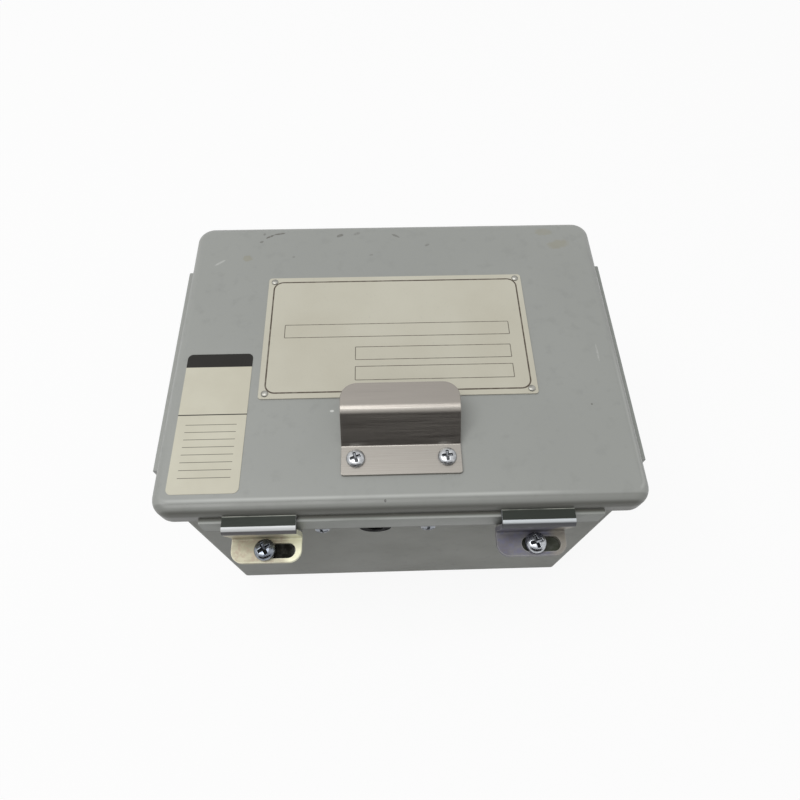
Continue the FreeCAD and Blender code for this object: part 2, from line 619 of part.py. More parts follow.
# Cable entry: backing plate, grommet, two screws and nuts on the front wall
def make_entry():
    plate = new_body("entry_plate")
    outline = sketch_on(plate, "XZ", f"-{entry_back}")
    rectangle(outline, f"{entry_x} - entry_plate_w / 2", "entry_z - entry_plate_d / 2",
              f"{entry_x} + entry_plate_w / 2", "entry_z + entry_plate_d / 2")
    pad(plate, outline, "entry_plate_wall")
    round_edges(plate, "entry_plate_corner", lambda edge: along(edge, 1))
    holes = sketch_on(plate, "XZ", f"-{entry_back}")
    circle(holes, entry_x, "entry_z", "entry_hole_r")
    for side in "-+":
        circle(holes, f"{entry_x} {side} entry_screw_pitch / 2", "entry_z", "entry_screw_r + screw_hole_gap")
    pocket(plate, holes, "entry_plate_wall")
    keep(plate)

    face_front = 90
    grommet = new_body("cable_grommet", entry_x, wall_y, "entry_z", face_front)
    neck = "(box_wall + entry_plate_wall)"
    polygon(sketch_on(grommet, "XZ"), [("grommet_bore_r", f"-{neck} - grommet_flange"),
            ("grommet_flange_r", f"-{neck} - grommet_flange"), ("grommet_flange_r", f"-{neck}"),
            ("entry_hole_r", f"-{neck}"), ("entry_hole_r", "0"), ("grommet_flange_r", "0"),
            ("grommet_flange_r", "grommet_flange"), ("grommet_bore_r", "grommet_flange")])
    revolve(grommet, grommet.Group[-1])
    keep(grommet)

    screws = new_body("entry_screws", f"{entry_x} - entry_screw_pitch / 2", wall_y, "entry_z", face_front)
    turned = pan_screw(screws, "entry_head_r", "entry_head_h", "entry_screw_r", "entry_screw_l")
    row(screws, turned, "X", "entry_screw_pitch", 2)
    keep(screws)

    nuts = new_body("entry_nuts", f"{entry_x} - entry_screw_pitch / 2", f"{entry_back} + entry_nut_h",
                    "entry_z", face_front)
    row(nuts, hex_nut(nuts, "entry_nut_af", "entry_nut_h", "entry_screw_r"), "X", "entry_screw_pitch", 2)
    keep(nuts)


# Sub-panel on four collar studs, with its nuts and an earth stud
def make_panel():
    first_x, first_y = f"-{stud_pitch_x} / 2", f"-{stud_pitch_y} / 2"
    studs = new_body("panel_studs", first_x, first_y, floor_z)
    top = "collar_h + panel_wall + stud_l"
    sketch = sketch_on(studs, "XZ")
    polygon(sketch, [("0", "0"), ("collar_r", "0"), ("collar_r", "collar_h"), ("stud_r", "collar_h"),
                     ("stud_r", top), ("0", top)])
    grid(studs, [revolve(studs, sketch)], stud_pitch_x, stud_pitch_y)
    keep(studs)

    panel = rounded_plate("inner_panel", "0", "0", panel_z, panel_w, panel_d, "panel_wall", "panel_corner")
    holes = sketch_on(panel, "XY", panel_z)
    for side in "-+":
        circle(holes, f"{side} {din_screw_pitch} / 2", "0", "din_screw_r")
        for end in "-+":
            circle(holes, f"{side} {stud_pitch_x} / 2", f"{end} {stud_pitch_y} / 2",
                   "stud_r + screw_hole_gap")
    circle(holes, earth_x, earth_y, "earth_r")
    pocket(panel, holes, "panel_wall")
    keep(panel)

    nuts = new_body("panel_nuts", first_x, first_y, panel_top)
    grid(nuts, hex_nut(nuts, "stud_nut_af", "stud_nut_h", "stud_r"), stud_pitch_x, stud_pitch_y)
    keep(nuts)

    stud = new_body("earth_stud", earth_x, earth_y, panel_z)
    pad(stud, circle(sketch_on(stud, "XY"), "0", "0", "earth_r"), "panel_wall + earth_l")
    keep(stud)
    nut = new_body("earth_nut", earth_x, earth_y, panel_top)
    hex_nut(nut, "earth_nut_af", "earth_nut_h", "earth_r")
    keep(nut)


# Terminal rail: top-hat section screwed to the sub-panel
def make_din_rail():
    body = new_body("din_rail")
    half, web = "din_w / 2", "din_base / 2"
    low, high = panel_top, din_top
    right = [(half, high), (half, f"{high} - din_wall"), (web, f"{high} - din_wall"), (web, low)]
    left = [(f"-{web}", low), (f"-{web}", f"{high} - din_wall"), (f"-{half}", f"{high} - din_wall"),
            (f"-{half}", high)]
    trough = [(f"din_wall - {web}", high), (f"din_wall - {web}", f"{low} + din_wall"),
              (f"{web} - din_wall", f"{low} + din_wall"), (f"{web} - din_wall", high)]
    sketch = sketch_on(body, "YZ", f"-{din_l} / 2")
    pad(body, polygon(sketch, right + left + trough), din_l)
    holes = sketch_on(body, "XY", panel_top)
    for side in "-+":
        circle(holes, f"{side} {din_screw_pitch} / 2", "0", "din_screw_r")
    pocket(body, holes, "din_wall")
    keep(body)

    screws = new_body("din_rail_screws", f"-{din_screw_pitch} / 2", "0", f"{panel_top} + din_wall")
    turned = headed_pin(screws, "din_head_r", "din_head_h", "din_screw_r", "(din_wall + panel_wall)")
    row(screws, turned, "X", din_screw_pitch, 2)
    keep(screws)


def rail_foot(depth):
    # lower edge of anything clipped on the rail: flat on its top, hooked under both flanges
    half, inner = f"{depth} / 2", "din_w / 2 + hook_gap"
    low, hook = f"{din_top} - hook_h", f"{din_top} - din_wall - hook_gap"
    tip = f"{inner} - hook_reach"
    right = [(inner, din_top), (inner, hook), (tip, hook), (tip, low), (half, low)]
    left = [(f"-({y})", z) for y, z in reversed(right)]
    return right, left


def clip_on_rail(label, start, width, depth, shoulders):
    # outline from the right hook over the stepped top to the left hook, drawn out along the rail
    body = new_body(label)
    right, left = rail_foot(depth)
    top = shoulders + [(f"-({y})", z) for y, z in reversed(shoulders)]
    return body, pad(body, polygon(sketch_on(body, "YZ", start), right + top + left), width)


def make_terminals():
    steps = [("block_d / 2", f"{din_top} + block_h - 2 * block_step"),
             ("block_top / 2 + block_step / 2", f"{din_top} + block_h - 2 * block_step"),
             ("block_top / 2 + block_step / 2", f"{din_top} + block_h - block_step"),
             ("block_top / 2", f"{din_top} + block_h - block_step"),
             ("block_top / 2", f"{din_top} + block_h")]
    blocks, first = clip_on_rail("terminal_blocks", block_start, "block_w", "block_d", steps)
    row(blocks, [first], "X", f"{block_count - 1} * (block_w + block_gap)", block_count)
    keep(blocks)

    stops_top = [("block_d / 2", f"{din_top} + stop_h / 2"), ("block_top / 2", f"{din_top} + stop_h")]
    stops_start = f"{block_start} - block_gap - stop_w"
    stops, first = clip_on_rail("end_stops", stops_start, "stop_w", "block_d", stops_top)
    row(stops, [first], "X", f"stop_w + {block_run} + block_gap", 2)
    keep(stops)


# Two plug-in relays in rail sockets
def make_relays():
    ledge = f"{din_top} + socket_h - socket_step_h"
    steps = [("socket_d / 2", ledge), ("socket_d / 2 - socket_step", ledge),
             ("socket_d / 2 - socket_step", f"{din_top} + socket_h")]
    sockets, first = clip_on_rail("relay_sockets", socket_start, "socket_w", "socket_d", steps)
    row(sockets, [first], "X", "socket_pitch", 2)
    keep(sockets)

    relays = new_body("relays", f"{socket_start} + socket_w / 2", "0", f"{din_top} + socket_h")
    outline = sketch_on(relays, "XY")
    rounded_rectangle(outline, "-relay_w / 2", "-relay_d / 2", "relay_w / 2", "relay_d / 2", "relay_corner")
    row(relays, [pad(relays, outline, "relay_h")], "X", "socket_pitch", 2)
    keep(relays)


make_box()
make_foot("mounting_foot_left", -1)
make_foot("mounting_foot_right", 1)
make_panel()
make_din_rail()
make_terminals()
make_relays()
make_entry()
make_hinge()
make_lid()
make_gasket()
make_front_rail()
make_side_rail("lid_rail_left", -1)
make_side_rail("lid_rail_right", 1)
make_pull()
make_plates()
for hand in ("left", "right"):
    make_anchor(f"clamp_anchor_{hand}", screw_places[hand])
    make_clamp(f"clamp_{hand}", clamp_places[hand])
    make_clamp_screw(hand, screw_places[hand])

doc.recompute()


# Every feature has to be sound, and every cut has to take something away, before anything is written
for item in doc.Objects:
    if any(flag in item.State for flag in ("Invalid", "Error")):
        raise RuntimeError(f"{item.Label} did not recompute: {item.State}")
for feature in cut_features:
    if feature.BaseFeature.Shape.Volume - feature.Shape.Volume < 1e-3:
        raise RuntimeError(f"{feature.Label} cuts nothing")
for body in nodes:
    if body.Shape.isNull() or not body.Shape.isValid() or not body.Shape.Solids:
        raise RuntimeError(f"{body.Label} has no sound shape")

os.makedirs("parts", exist_ok=True)
for body in nodes:
    body.Shape.exportStep(os.path.join("parts", f"{body.Label}.step"))
    print(f"{body.Label}: {len(body.Shape.Solids)} solid(s), {body.Shape.Volume / 1000:.2f} cm3")
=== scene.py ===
import bpy
import numpy as np
from mathutils import Matrix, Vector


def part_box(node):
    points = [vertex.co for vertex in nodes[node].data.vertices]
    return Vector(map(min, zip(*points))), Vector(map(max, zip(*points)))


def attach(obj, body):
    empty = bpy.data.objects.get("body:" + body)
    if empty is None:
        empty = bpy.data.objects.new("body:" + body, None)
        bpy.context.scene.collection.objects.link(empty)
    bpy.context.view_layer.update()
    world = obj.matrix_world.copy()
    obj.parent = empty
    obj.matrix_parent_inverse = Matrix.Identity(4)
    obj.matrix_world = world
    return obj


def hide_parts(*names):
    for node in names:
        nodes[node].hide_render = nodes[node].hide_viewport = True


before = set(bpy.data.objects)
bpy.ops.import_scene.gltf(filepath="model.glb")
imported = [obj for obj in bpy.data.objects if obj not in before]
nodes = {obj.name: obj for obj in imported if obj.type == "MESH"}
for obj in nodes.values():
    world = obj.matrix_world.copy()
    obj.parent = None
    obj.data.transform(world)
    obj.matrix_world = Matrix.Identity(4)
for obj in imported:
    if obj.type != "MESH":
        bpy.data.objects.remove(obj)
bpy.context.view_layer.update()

scene = bpy.context.scene
scene.view_settings.view_transform = "Standard"
mm = 0.001
print("frame loaded:", len(nodes), "nodes")


def srgb(red, green, blue):
    # screen colour 0-255 to the linear value that a shader socket wants
    value = np.array([red, green, blue]) / 255
    linear = np.where(value <= 0.04045, value / 12.92, ((value + 0.055) / 1.055) ** 2.4)
    return (*(float(part) for part in linear), 1.0)


# camera, measured from the lid's outline and the box's lower edge; angles in radians
camera = {
    "eye": (-5.0 * mm, -157.4 * mm, 391.15 * mm),
    "tilt": 2.6458,         # turn about X, from looking straight up
    "yaw": 0.0412,
    "roll": 0.0147,
    "focalPixels": 577.4,
    "imagePixels": 800,
    "sensorWidth": 36,
    "clipStart": 0.01,
}


def placeCamera():
    # rows of the turn are the picture's right, down and forward directions
    turn = (Matrix.Rotation(camera["roll"], 3, "Z") @ Matrix.Rotation(camera["tilt"], 3, "X")
            @ Matrix.Rotation(camera["yaw"], 3, "Z"))
    data = bpy.data.cameras.new("photoCamera")
    data.sensor_width = camera["sensorWidth"]
    data.lens = data.sensor_width * camera["focalPixels"] / camera["imagePixels"]
    data.clip_start = camera["clipStart"]
    eye = bpy.data.objects.new("photoCamera", data)
    scene.collection.objects.link(eye)
    axes = Matrix((turn[0], -turn[1], -turn[2])).transposed()
    eye.matrix_world = Matrix.Translation(camera["eye"]) @ axes.to_4x4()
    scene.camera = eye


placeCamera()
print("camera placed")


# how marks, lines and edges are drawn on every finish
brush = {
    "bevelSamples": 6,
    "edgeTurn": (0.99, 0.8),    # cosine of a normal's turn where an edge begins and where it is full
    "spotGrain": (520, 5),      # noise per metre and detail of a mark's ragged rim
    "spotRim": (1.0, 0.6),      # share of its size where a mark ends and where it is full
    "lineBlur": 0.06 * mm,
}


class Finish:
    # one material: every call adds a node and gives back its output socket
    def __init__(self, name, colour, roughness, metallic=0.0, specular=0.5):
        self.material = bpy.data.materials.new(name)
        self.material.use_nodes = True
        self.tree = self.material.node_tree
        self.shader = self.tree.nodes["Principled BSDF"]
        for socket, value in (("Base Color", colour), ("Roughness", roughness), ("Metallic", metallic),
                              ("Specular IOR Level", specular)):
            self.shader.inputs[socket].default_value = value
        self.place = self.node("TexCoord").outputs["Object"]
        split = self.node("SeparateXYZ")
        self.feed(split.inputs[0], self.place)
        self.axis = {letter: split.outputs[letter] for letter in "XYZ"}

    def node(self, kind):
        return self.tree.nodes.new("ShaderNode" + kind)

    def feed(self, socket, value):
        if isinstance(value, bpy.types.NodeSocket):
            self.tree.links.new(value, socket)
        else:
            socket.default_value = value

    def calc(self, operation, first, second=0.0, third=0.0):
        node = self.node("Math")
        node.operation = operation
        for socket, value in zip(node.inputs, (first, second, third)):
            self.feed(socket, value)
        return node.outputs[0]

    def noise(self, perMetre, detail=4.0, stretch=(1, 1, 1), grain=0.55):
        # stretch under 1 draws the noise out along that axis, grain is the weight of its fine parts
        mapping = self.node("Mapping")
        self.feed(mapping.inputs["Vector"], self.place)
        mapping.inputs["Scale"].default_value = stretch
        node = self.node("TexNoise")
        self.feed(node.inputs["Vector"], mapping.outputs[0])
        node.inputs["Scale"].default_value = perMetre
        node.inputs["Detail"].default_value = detail
        node.inputs["Roughness"].default_value = grain
        return node.outputs["Fac"]

    def between(self, value, low, high, to=(0.0, 1.0)):
        # smooth step from one value to another, falling where low is the larger
        node = self.node("MapRange")
        node.interpolation_type = "SMOOTHSTEP"
        self.feed(node.inputs["Value"], value)
        for name, number in zip(("From Min", "From Max", "To Min", "To Max"), (low, high, *to)):
            node.inputs[name].default_value = number
        return node.outputs[0]

    def patches(self, low=0.3, high=0.7, to=(0.0, 1.0), **noise):
        # noise cut by a smooth step
        return self.between(self.noise(**noise), low, high, to)

    def band(self, letter, edge, span, to=(0.0, 1.0)):
        # smooth step along an axis, over a span in mm from an edge
        low, high = (edge + distance * mm for distance in span)
        return self.between(self.axis[letter], low, high, to)

    def mix(self, factor, first, second):
        # sockets 6, 7 and 2 are the colour ones
        node = self.node("Mix")
        node.data_type = "RGBA"
        self.feed(node.inputs["Factor"], factor)
        self.feed(node.inputs[6], first)
        self.feed(node.inputs[7], second)
        return node.outputs[2]

    def both(self, *masks):
        result = masks[0]
        for mask in masks[1:]:
            result = self.calc("MULTIPLY", result, mask)
        return result

    def edges(self, radius):
        # how far a rounded normal turns from the true one: 0 on flats, 1 along sharp edges
        bevel = self.node("Bevel")
        bevel.samples = brush["bevelSamples"]
        bevel.inputs["Radius"].default_value = radius * mm
        product = self.node("VectorMath")
        product.operation = "DOT_PRODUCT"
        self.feed(product.inputs[0], bevel.outputs[0])
        self.feed(product.inputs[1], self.node("NewGeometry").outputs["Normal"])
        return self.between(product.outputs["Value"], *brush["edgeTurn"])

    def length(self, first, second):
        squares = (self.calc("MULTIPLY", part, part) for part in (first, second))
        return self.calc("SQRT", self.calc("ADD", *squares))

    def spot(self, middle, half, slope, ragged):
        # 1 inside an ellipse on the XY plane that rises with the slope, 0 outside; its rim is ragged
        across = self.calc("SUBTRACT", self.axis["X"], middle[0] * mm)
        up = self.calc("SUBTRACT", self.axis["Y"], middle[1] * mm)
        up = self.calc("MULTIPLY_ADD", across, -slope, up)
        shares = (self.calc("DIVIDE", part, size * mm) for part, size in zip((across, up), half))
        away = self.length(*shares)
        away = self.calc("MULTIPLY_ADD", self.noise(*brush["spotGrain"]), ragged, away)
        return self.between(away, *(rim + 0.5 * ragged for rim in brush["spotRim"]))

    def boxDistance(self, middle, half, corner):
        # distance from a rounded rectangle on the XY plane, less than 0 inside it
        parts = []
        for letter, centre, size in zip("XY", middle, half):
            away = self.calc("ABSOLUTE", self.calc("SUBTRACT", self.axis[letter], centre))
            parts.append(self.calc("SUBTRACT", away, size - corner))
        outer = self.length(*(self.calc("MAXIMUM", part, 0.0) for part in parts))
        inner = self.calc("MINIMUM", self.calc("MAXIMUM", *parts), 0.0)
        return self.calc("SUBTRACT", self.calc("ADD", outer, inner), corner)

    def outline(self, middle, half, corner, width):
        away = self.calc("ABSOLUTE", self.boxDistance(middle, half, corner))
        return self.between(away, 0.5 * width + brush["lineBlur"], 0.5 * width - brush["lineBlur"])

    def attribute(self, name):
        node = self.node("Attribute")
        node.attribute_name = name
        return node.outputs["Fac"]

    def colour(self, socket):
        self.feed(self.shader.inputs["Base Color"], socket)

    def rough(self, socket):
        self.feed(self.shader.inputs["Roughness"], socket)

    def bump(self, height, depth, strength):
        node = self.node("Bump")
        node.inputs["Strength"].default_value = strength
        node.inputs["Distance"].default_value = depth * mm
        self.feed(node.inputs["Height"], height)
        self.feed(self.shader.inputs["Normal"], node.outputs[0])

    def wear(self, *names):
        for name in names:
            piece = nodes.get(name) or bpy.data.objects[name]
            piece.data.materials.clear()
            piece.data.materials.append(self.material)


def makeMesh(name, points, faces, smooth=True):
    mesh = bpy.data.meshes.new(name)
    mesh.from_pydata(np.asarray(points).tolist(), [], faces)
    mesh.polygons.foreach_set("use_smooth", np.full(len(mesh.polygons), smooth))
    mesh.update()
    piece = bpy.data.objects.new(name, mesh)
    scene.collection.objects.link(piece)
    return piece


# pale floor, a soft ceiling lamp, and a dark card in front for the bent metal to mirror; in metres
stage = {
    "floorHalf": 3.0,
    "floorColour": srgb(212, 212, 212),
    "floorRoughness": 0.9,
    "floorGlow": 0.86,          # share of plain white in the floor that is seen
    "floorWhite": 1.05,
    "ambient": 0.36,
    "keyWatts": 19.0,
    "keySize": (1.6, 0.9),      # wide, over the lid and a little to the left
    "keyPlace": (-0.5, -0.1, 1.9),
    "keyLean": -0.28,
    "cardCorners": [(-0.9, -0.8, 0.12), (0.9, -0.8, 0.12), (0.9, -0.8, 0.85), (-0.9, -0.8, 0.85)],
    "cardColour": srgb(36, 25, 25),
}


def hangLamp():
    data = bpy.data.lights.new("keyLamp", "AREA")
    data.shape = "RECTANGLE"
    data.energy = stage["keyWatts"]
    data.size, data.size_y = stage["keySize"]
    light = bpy.data.objects.new("keyLamp", data)
    scene.collection.objects.link(light)
    light.location = stage["keyPlace"]
    light.rotation_euler = (0, stage["keyLean"], 0)


def seenDirectly(tree):
    # 1 for camera, mirror and glass rays, which show the white background, 0 for the light on things
    path = tree.nodes.new("ShaderNodeLightPath")
    total = path.outputs["Is Camera Ray"]
    for name in ("Is Glossy Ray", "Is Transmission Ray"):
        larger = tree.nodes.new("ShaderNodeMath")
        larger.operation = "MAXIMUM"
        tree.links.new(total, larger.inputs[0])
        tree.links.new(path.outputs[name], larger.inputs[1])
        total = larger.outputs[0]
    return total


def buildStage():
    half = stage["floorHalf"]
    corners = [(-half, -half, 0), (half, -half, 0), (half, half, 0), (-half, half, 0)]
    makeMesh("floor", corners, [(0, 1, 2, 3)])
    paint = Finish("floorPaint", stage["floorColour"], stage["floorRoughness"])
    paint.wear("floor")
    glow = paint.node("Emission")
    glow.inputs["Strength"].default_value = stage["floorWhite"]
    blend = paint.node("MixShader")
    paint.feed(blend.inputs[0], paint.calc("MULTIPLY", seenDirectly(paint.tree), stage["floorGlow"]))
    paint.feed(blend.inputs[1], paint.shader.outputs[0])
    paint.feed(blend.inputs[2], glow.outputs[0])
    paint.feed(paint.tree.nodes["Material Output"].inputs["Surface"], blend.outputs[0])

    # only mirror rays see the card
    card = makeMesh("darkCard", stage["cardCorners"], [(0, 1, 2, 3)])
    Finish("cardFelt", stage["cardColour"], 1.0).wear("darkCard")
    for ray in ("camera", "diffuse", "shadow", "transmission", "volume_scatter"):
        setattr(card, "visible_" + ray, False)

    world = bpy.data.worlds.new("studio")
    scene.world = world
    world.use_nodes = True
    sky = world.node_tree
    amount = sky.nodes.new("ShaderNodeMapRange")
    amount.inputs["To Min"].default_value = stage["ambient"]
    sky.links.new(seenDirectly(sky), amount.inputs["Value"])
    sky.links.new(amount.outputs[0], sky.nodes["Background"].inputs["Strength"])
    sky.nodes["Background"].inputs["Color"].default_value = (1, 1, 1, 1)
    hangLamp()


buildStage()
print("stage built")


# grey enamel of the box, its feet, the hinge, the lid and the lid's rails
enamel = {
    "box": srgb(152, 153, 148),
    "lid": srgb(156, 158, 154),
    # the lid's paint made darker, painted shade for the rails' faces
    "rail": srgb(142, 145, 140),
    # pale paint for rubbed edges, and for the painted highlight on the lid's roll and the front rail's
    # bend
    "wornAndHighlight": srgb(196, 198, 194),
    # dark paint for grime on the hinge, and for painted shade on the lid's front roll and the front
    # rail's ledge and hem
    "grimeAndShade": srgb(84, 84, 78),
    # dark tint for dirt marks on the lid
    "darkening": srgb(78, 74, 66),
    "stain": srgb(150, 145, 122),
    "chip": srgb(222, 223, 219),
    "speck": srgb(40, 37, 33),
    "roughness": 0.38,
    "boxSpecular": 0.02,
    "paler": 1.07,
    "darker": 0.95,
    "cloud": {"perMetre": 9, "detail": 3},
    "mottle": {"perMetre": 160, "detail": 5, "low": 0.52, "high": 0.75},
    "rubRadius": 0.5,
    "rubStrength": 0.3,
    "rubPatches": {"perMetre": 110, "detail": 5, "low": 0.42, "high": 0.62},
    "gloss": {"perMetre": 26, "to": (0.33, 0.46)},
    "peel": {"perMetre": 1100, "detail": 2},
    "peelBump": (0.02, 0.35),
    "hingeGrime": {"perMetre": 420, "detail": 5, "low": 0.5, "high": 0.72, "to": (0.0, 0.35)},
}


def enamelFinish(name, colour, specular=0.5):
    # cloudy grey over fine orange peel, rubbed lighter along its edges
    paint = Finish(name, colour, enamel["roughness"], specular=specular)
    paler, darker = ((*(enamel[key] * part for part in colour[:3]), 1.0) for key in ("paler", "darker"))
    tone = paint.mix(paint.patches(**enamel["cloud"]), colour, paler)
    tone = paint.mix(paint.patches(**enamel["mottle"]), tone, darker)
    wearAndHighlight = paint.both(paint.edges(enamel["rubRadius"]), paint.patches(**enamel["rubPatches"]))
    paint.tone = paint.mix(paint.calc("MULTIPLY", wearAndHighlight, enamel["rubStrength"]), tone, enamel["wornAndHighlight"])
    paint.colour(paint.tone)
    paint.rough(paint.patches(**enamel["gloss"]))
    paint.bump(paint.noise(**enamel["peel"]), *enamel["peelBump"])
    return paint


# painted shade on the seats under the clamps, dark where the slots look down on them: a soft-edged
# track along the slot, in mm from the screw
seatShade = {
    "left": srgb(30, 30, 27),
    "right": srgb(74, 77, 68),
    "track": (-4.0, 6.0),
    "topFade": (-0.8, -0.2),
    "frontFade": (-0.8, 0.0),
    "rearFade": (1.2, 0.0),
    "patches": {"perMetre": 300, "low": 0.25, "high": 0.6, "to": (0.8, 1.0)},
}


def paintBox():
    paint = enamelFinish("boxEnamel", enamel["box"], enamel["boxSpecular"])
    paint.wear("box_shell", "mounting_foot_left", "mounting_foot_right")
    for hand in ("left", "right"):
        paint = enamelFinish(hand + "SeatEnamel", enamel["box"], enamel["boxSpecular"])
        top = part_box("clamp_anchor_" + hand)[1].z
        screwY = sum(corner.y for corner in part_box("clamp_screw_" + hand)) / 2
        front, rear = (screwY + step * mm for step in seatShade["track"])
        seat = paint.both(paint.band("Z", top, seatShade["topFade"]),
                          paint.band("Y", front, seatShade["frontFade"]),
                          paint.band("Y", rear, seatShade["rearFade"]))
        # painted shade along the track, darker on the left seat
        shadedSeat = paint.both(seat, paint.patches(**seatShade["patches"]))
        paint.colour(paint.mix(shadedSeat, paint.tone, seatShade[hand]))
        paint.wear("clamp_anchor_" + hand)
    paint = enamelFinish("hingeEnamel", enamel["lid"])
    paint.colour(paint.mix(paint.patches(**enamel["hingeGrime"]), paint.tone, enamel["grimeAndShade"]))
    paint.wear("hinge_body_leaf", "hinge_lid_leaf", "hinge_pin")


# marks on the lid: middle and half size in mm, slope, tint, strength; the marks are dirt, stains, chips
# and specks
lidMarks = [
    ((-66.8, 70.7), (2.6, 0.8), 0.5, "darkening", 0.8), ((-62.2, 72.4), (3.6, 0.7), 0.2, "darkening", 0.7),
    ((-71.3, 66.9), (1.2, 0.8), 0.3, "darkening", 0.55), ((-70.3, 72.3), (0.9, 0.9), 0.0, "darkening", 0.3),
    ((-29.4, 70.6), (2.2, 1.2), 0.3, "darkening", 0.55), ((-20.3, 71.8), (2.2, 1.2), 0.2, "darkening", 0.22),
    ((0.5, 69.9), (2.6, 0.9), -0.5, "darkening", 0.45), ((17.3, 62.8), (1.5, 0.9), 0.3, "darkening", 0.3),
    ((-12.7, 56.4), (1.2, 0.9), 0.0, "darkening", 0.2), ((-53.5, 55.9), (1.0, 0.8), 0.0, "darkening", 0.25),
    ((81.2, 70.8), (5.5, 3.0), 0.0, "stain", 0.3), ((88.0, 62.0), (6.5, 3.6), 0.2, "stain", 0.42),
    ((-77.8, 55.2), (3.0, 2.6), 0.0, "stain", 0.45), ((-92.0, 52.6), (3.2, 1.0), 0.7, "chip", 0.3),
    ((-30.8, -36.4), (1.1, 0.7), 0.0, "chip", 0.9), ((88.1, -35.7), (0.7, 0.6), 0.0, "darkening", 0.6),
    ((-7.3, -79.3), (0.6, 0.8), 0.0, "speck", 0.95), ((96.0, -8.0), (0.5, 6.0), 0.0, "chip", 0.12),
]
# wear and painted light on the lid, in mm: a pale line where the roll begins is a painted highlight,
# and two steps of painted shade darken the front roll
lidWearAndLight = {
    "topFade": (-2.2, -1.6),        # marks stay on the flat top
    "ragged": 1.1,
    "markGrain": {"perMetre": 900, "detail": 3, "low": 0.3, "high": 0.55},
    "markFaint": 0.4,
    "lineInset": (2.8, 6.0),
    "lineCorner": 5.0,
    "lineWidth": 1.1,
    "frontFade": (85.0, 45.0),      # along the front, from the lid's middle
    "rightFade": (-6.0, -4.0),      # down the right side, from its edge
    "rightStrength": 0.5,
    "leftFade": (4.0, 9.0),         # none down the left side
    "rearFade": (10.0, -25.0),
    "linePatches": {"perMetre": 40, "detail": 3, "stretch": (0.4, 1, 1), "high": 0.6,
                    "to": (0.4, 0.75)},
    "rollShade": [((5.4, 4.4), 0.38), ((2.5, 1.0), 0.42)],
}


def paintLid():
    low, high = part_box("lid_shell")
    paint = enamelFinish("lidEnamel", enamel["lid"])
    tone = paint.tone
    topFace = paint.band("Z", high.z, lidWearAndLight["topFade"])
    for middle, half, slope, tint, strength in lidMarks:
        mark = paint.spot(middle, half, slope, lidWearAndLight["ragged"])
        grain = paint.patches(to=(lidWearAndLight["markFaint"], strength), **lidWearAndLight["markGrain"])
        tone = paint.mix(paint.both(mark, topFace, grain), tone, enamel[tint])
    # painted highlight: a soft pale line round the lid where the roll begins, along the front and down
    # the right side
    middle = [(low[k] + high[k]) / 2 for k in range(2)]
    half = [(high[k] - low[k]) / 2 - lidWearAndLight["lineInset"][k] * mm for k in range(2)]
    away = paint.calc("ABSOLUTE", paint.boxDistance(middle, half, lidWearAndLight["lineCorner"] * mm))
    front = paint.band("X", 0.0, lidWearAndLight["frontFade"])
    right = paint.band("X", high.x, lidWearAndLight["rightFade"], (0.0, lidWearAndLight["rightStrength"]))
    wearAndHighlight = paint.both(paint.between(away, lidWearAndLight["lineWidth"] * mm, 0.0),
                        paint.calc("MAXIMUM", front, right),
                        paint.band("X", low.x, lidWearAndLight["leftFade"]),
                        paint.band("Y", 0.0, lidWearAndLight["rearFade"]),
                        paint.patches(**lidWearAndLight["linePatches"]))
    tone = paint.mix(wearAndHighlight, tone, enamel["wornAndHighlight"])
    # painted shade: two darker steps down the front roll, under the lid's edge
    rollShading = paint.calc("ADD", *(paint.band("Y", low.y, span, (0.0, amount))
                                for span, amount in lidWearAndLight["rollShade"]))
    paint.colour(paint.mix(rollShading, tone, enamel["grimeAndShade"]))
    paint.wear("lid_shell")


# front rail: painted shade on its ledge and along its hem, and a painted highlight along its bend;
# spans in mm from its edges
railWear = {
    "specular": 0.25,
    "ledgeZ": (-0.5, -0.15),
    "ledgeY": (0.5, 1.7),
    "bendZ": (-1.0, -0.3),
    "bendY": (0.9, 0.4),
    "bendPatches": {"perMetre": 60, "stretch": (0.3, 1, 1), "high": 0.65, "to": (0.2, 0.75)},
    "hemZ": (1.2, 0.4),
    "hemStrength": 0.8,
}


def paintRails():
    # painted shade: the right rail and the front rail get the darker rail paint
    for name, colour in (("lid_rail_left", "lid"), ("lid_rail_right", "rail")):
        enamelFinish(name + "Enamel", enamel[colour]).wear(name)
    low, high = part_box("lid_rail_front")
    paint = enamelFinish("railEnamel", enamel["rail"], railWear["specular"])
    ledge = paint.both(paint.band("Z", high.z, railWear["ledgeZ"]),
                       paint.band("Y", low.y, railWear["ledgeY"]))
    bend = paint.both(paint.band("Z", high.z, railWear["bendZ"]),
                      paint.band("Y", low.y, railWear["bendY"]),
                      paint.patches(**railWear["bendPatches"]))
    hem = paint.band("Z", low.z, railWear["hemZ"], (0.0, railWear["hemStrength"]))
    # painted shade on the ledge, painted highlight along the bend, painted shade along the hem
    tone = paint.mix(ledge, paint.tone, enamel["grimeAndShade"])
    tone = paint.mix(bend, tone, enamel["wornAndHighlight"])
    paint.colour(paint.mix(hem, tone, enamel["grimeAndShade"]))
    paint.wear("lid_rail_front")


paintBox()
paintLid()
paintRails()
print("enamel done")
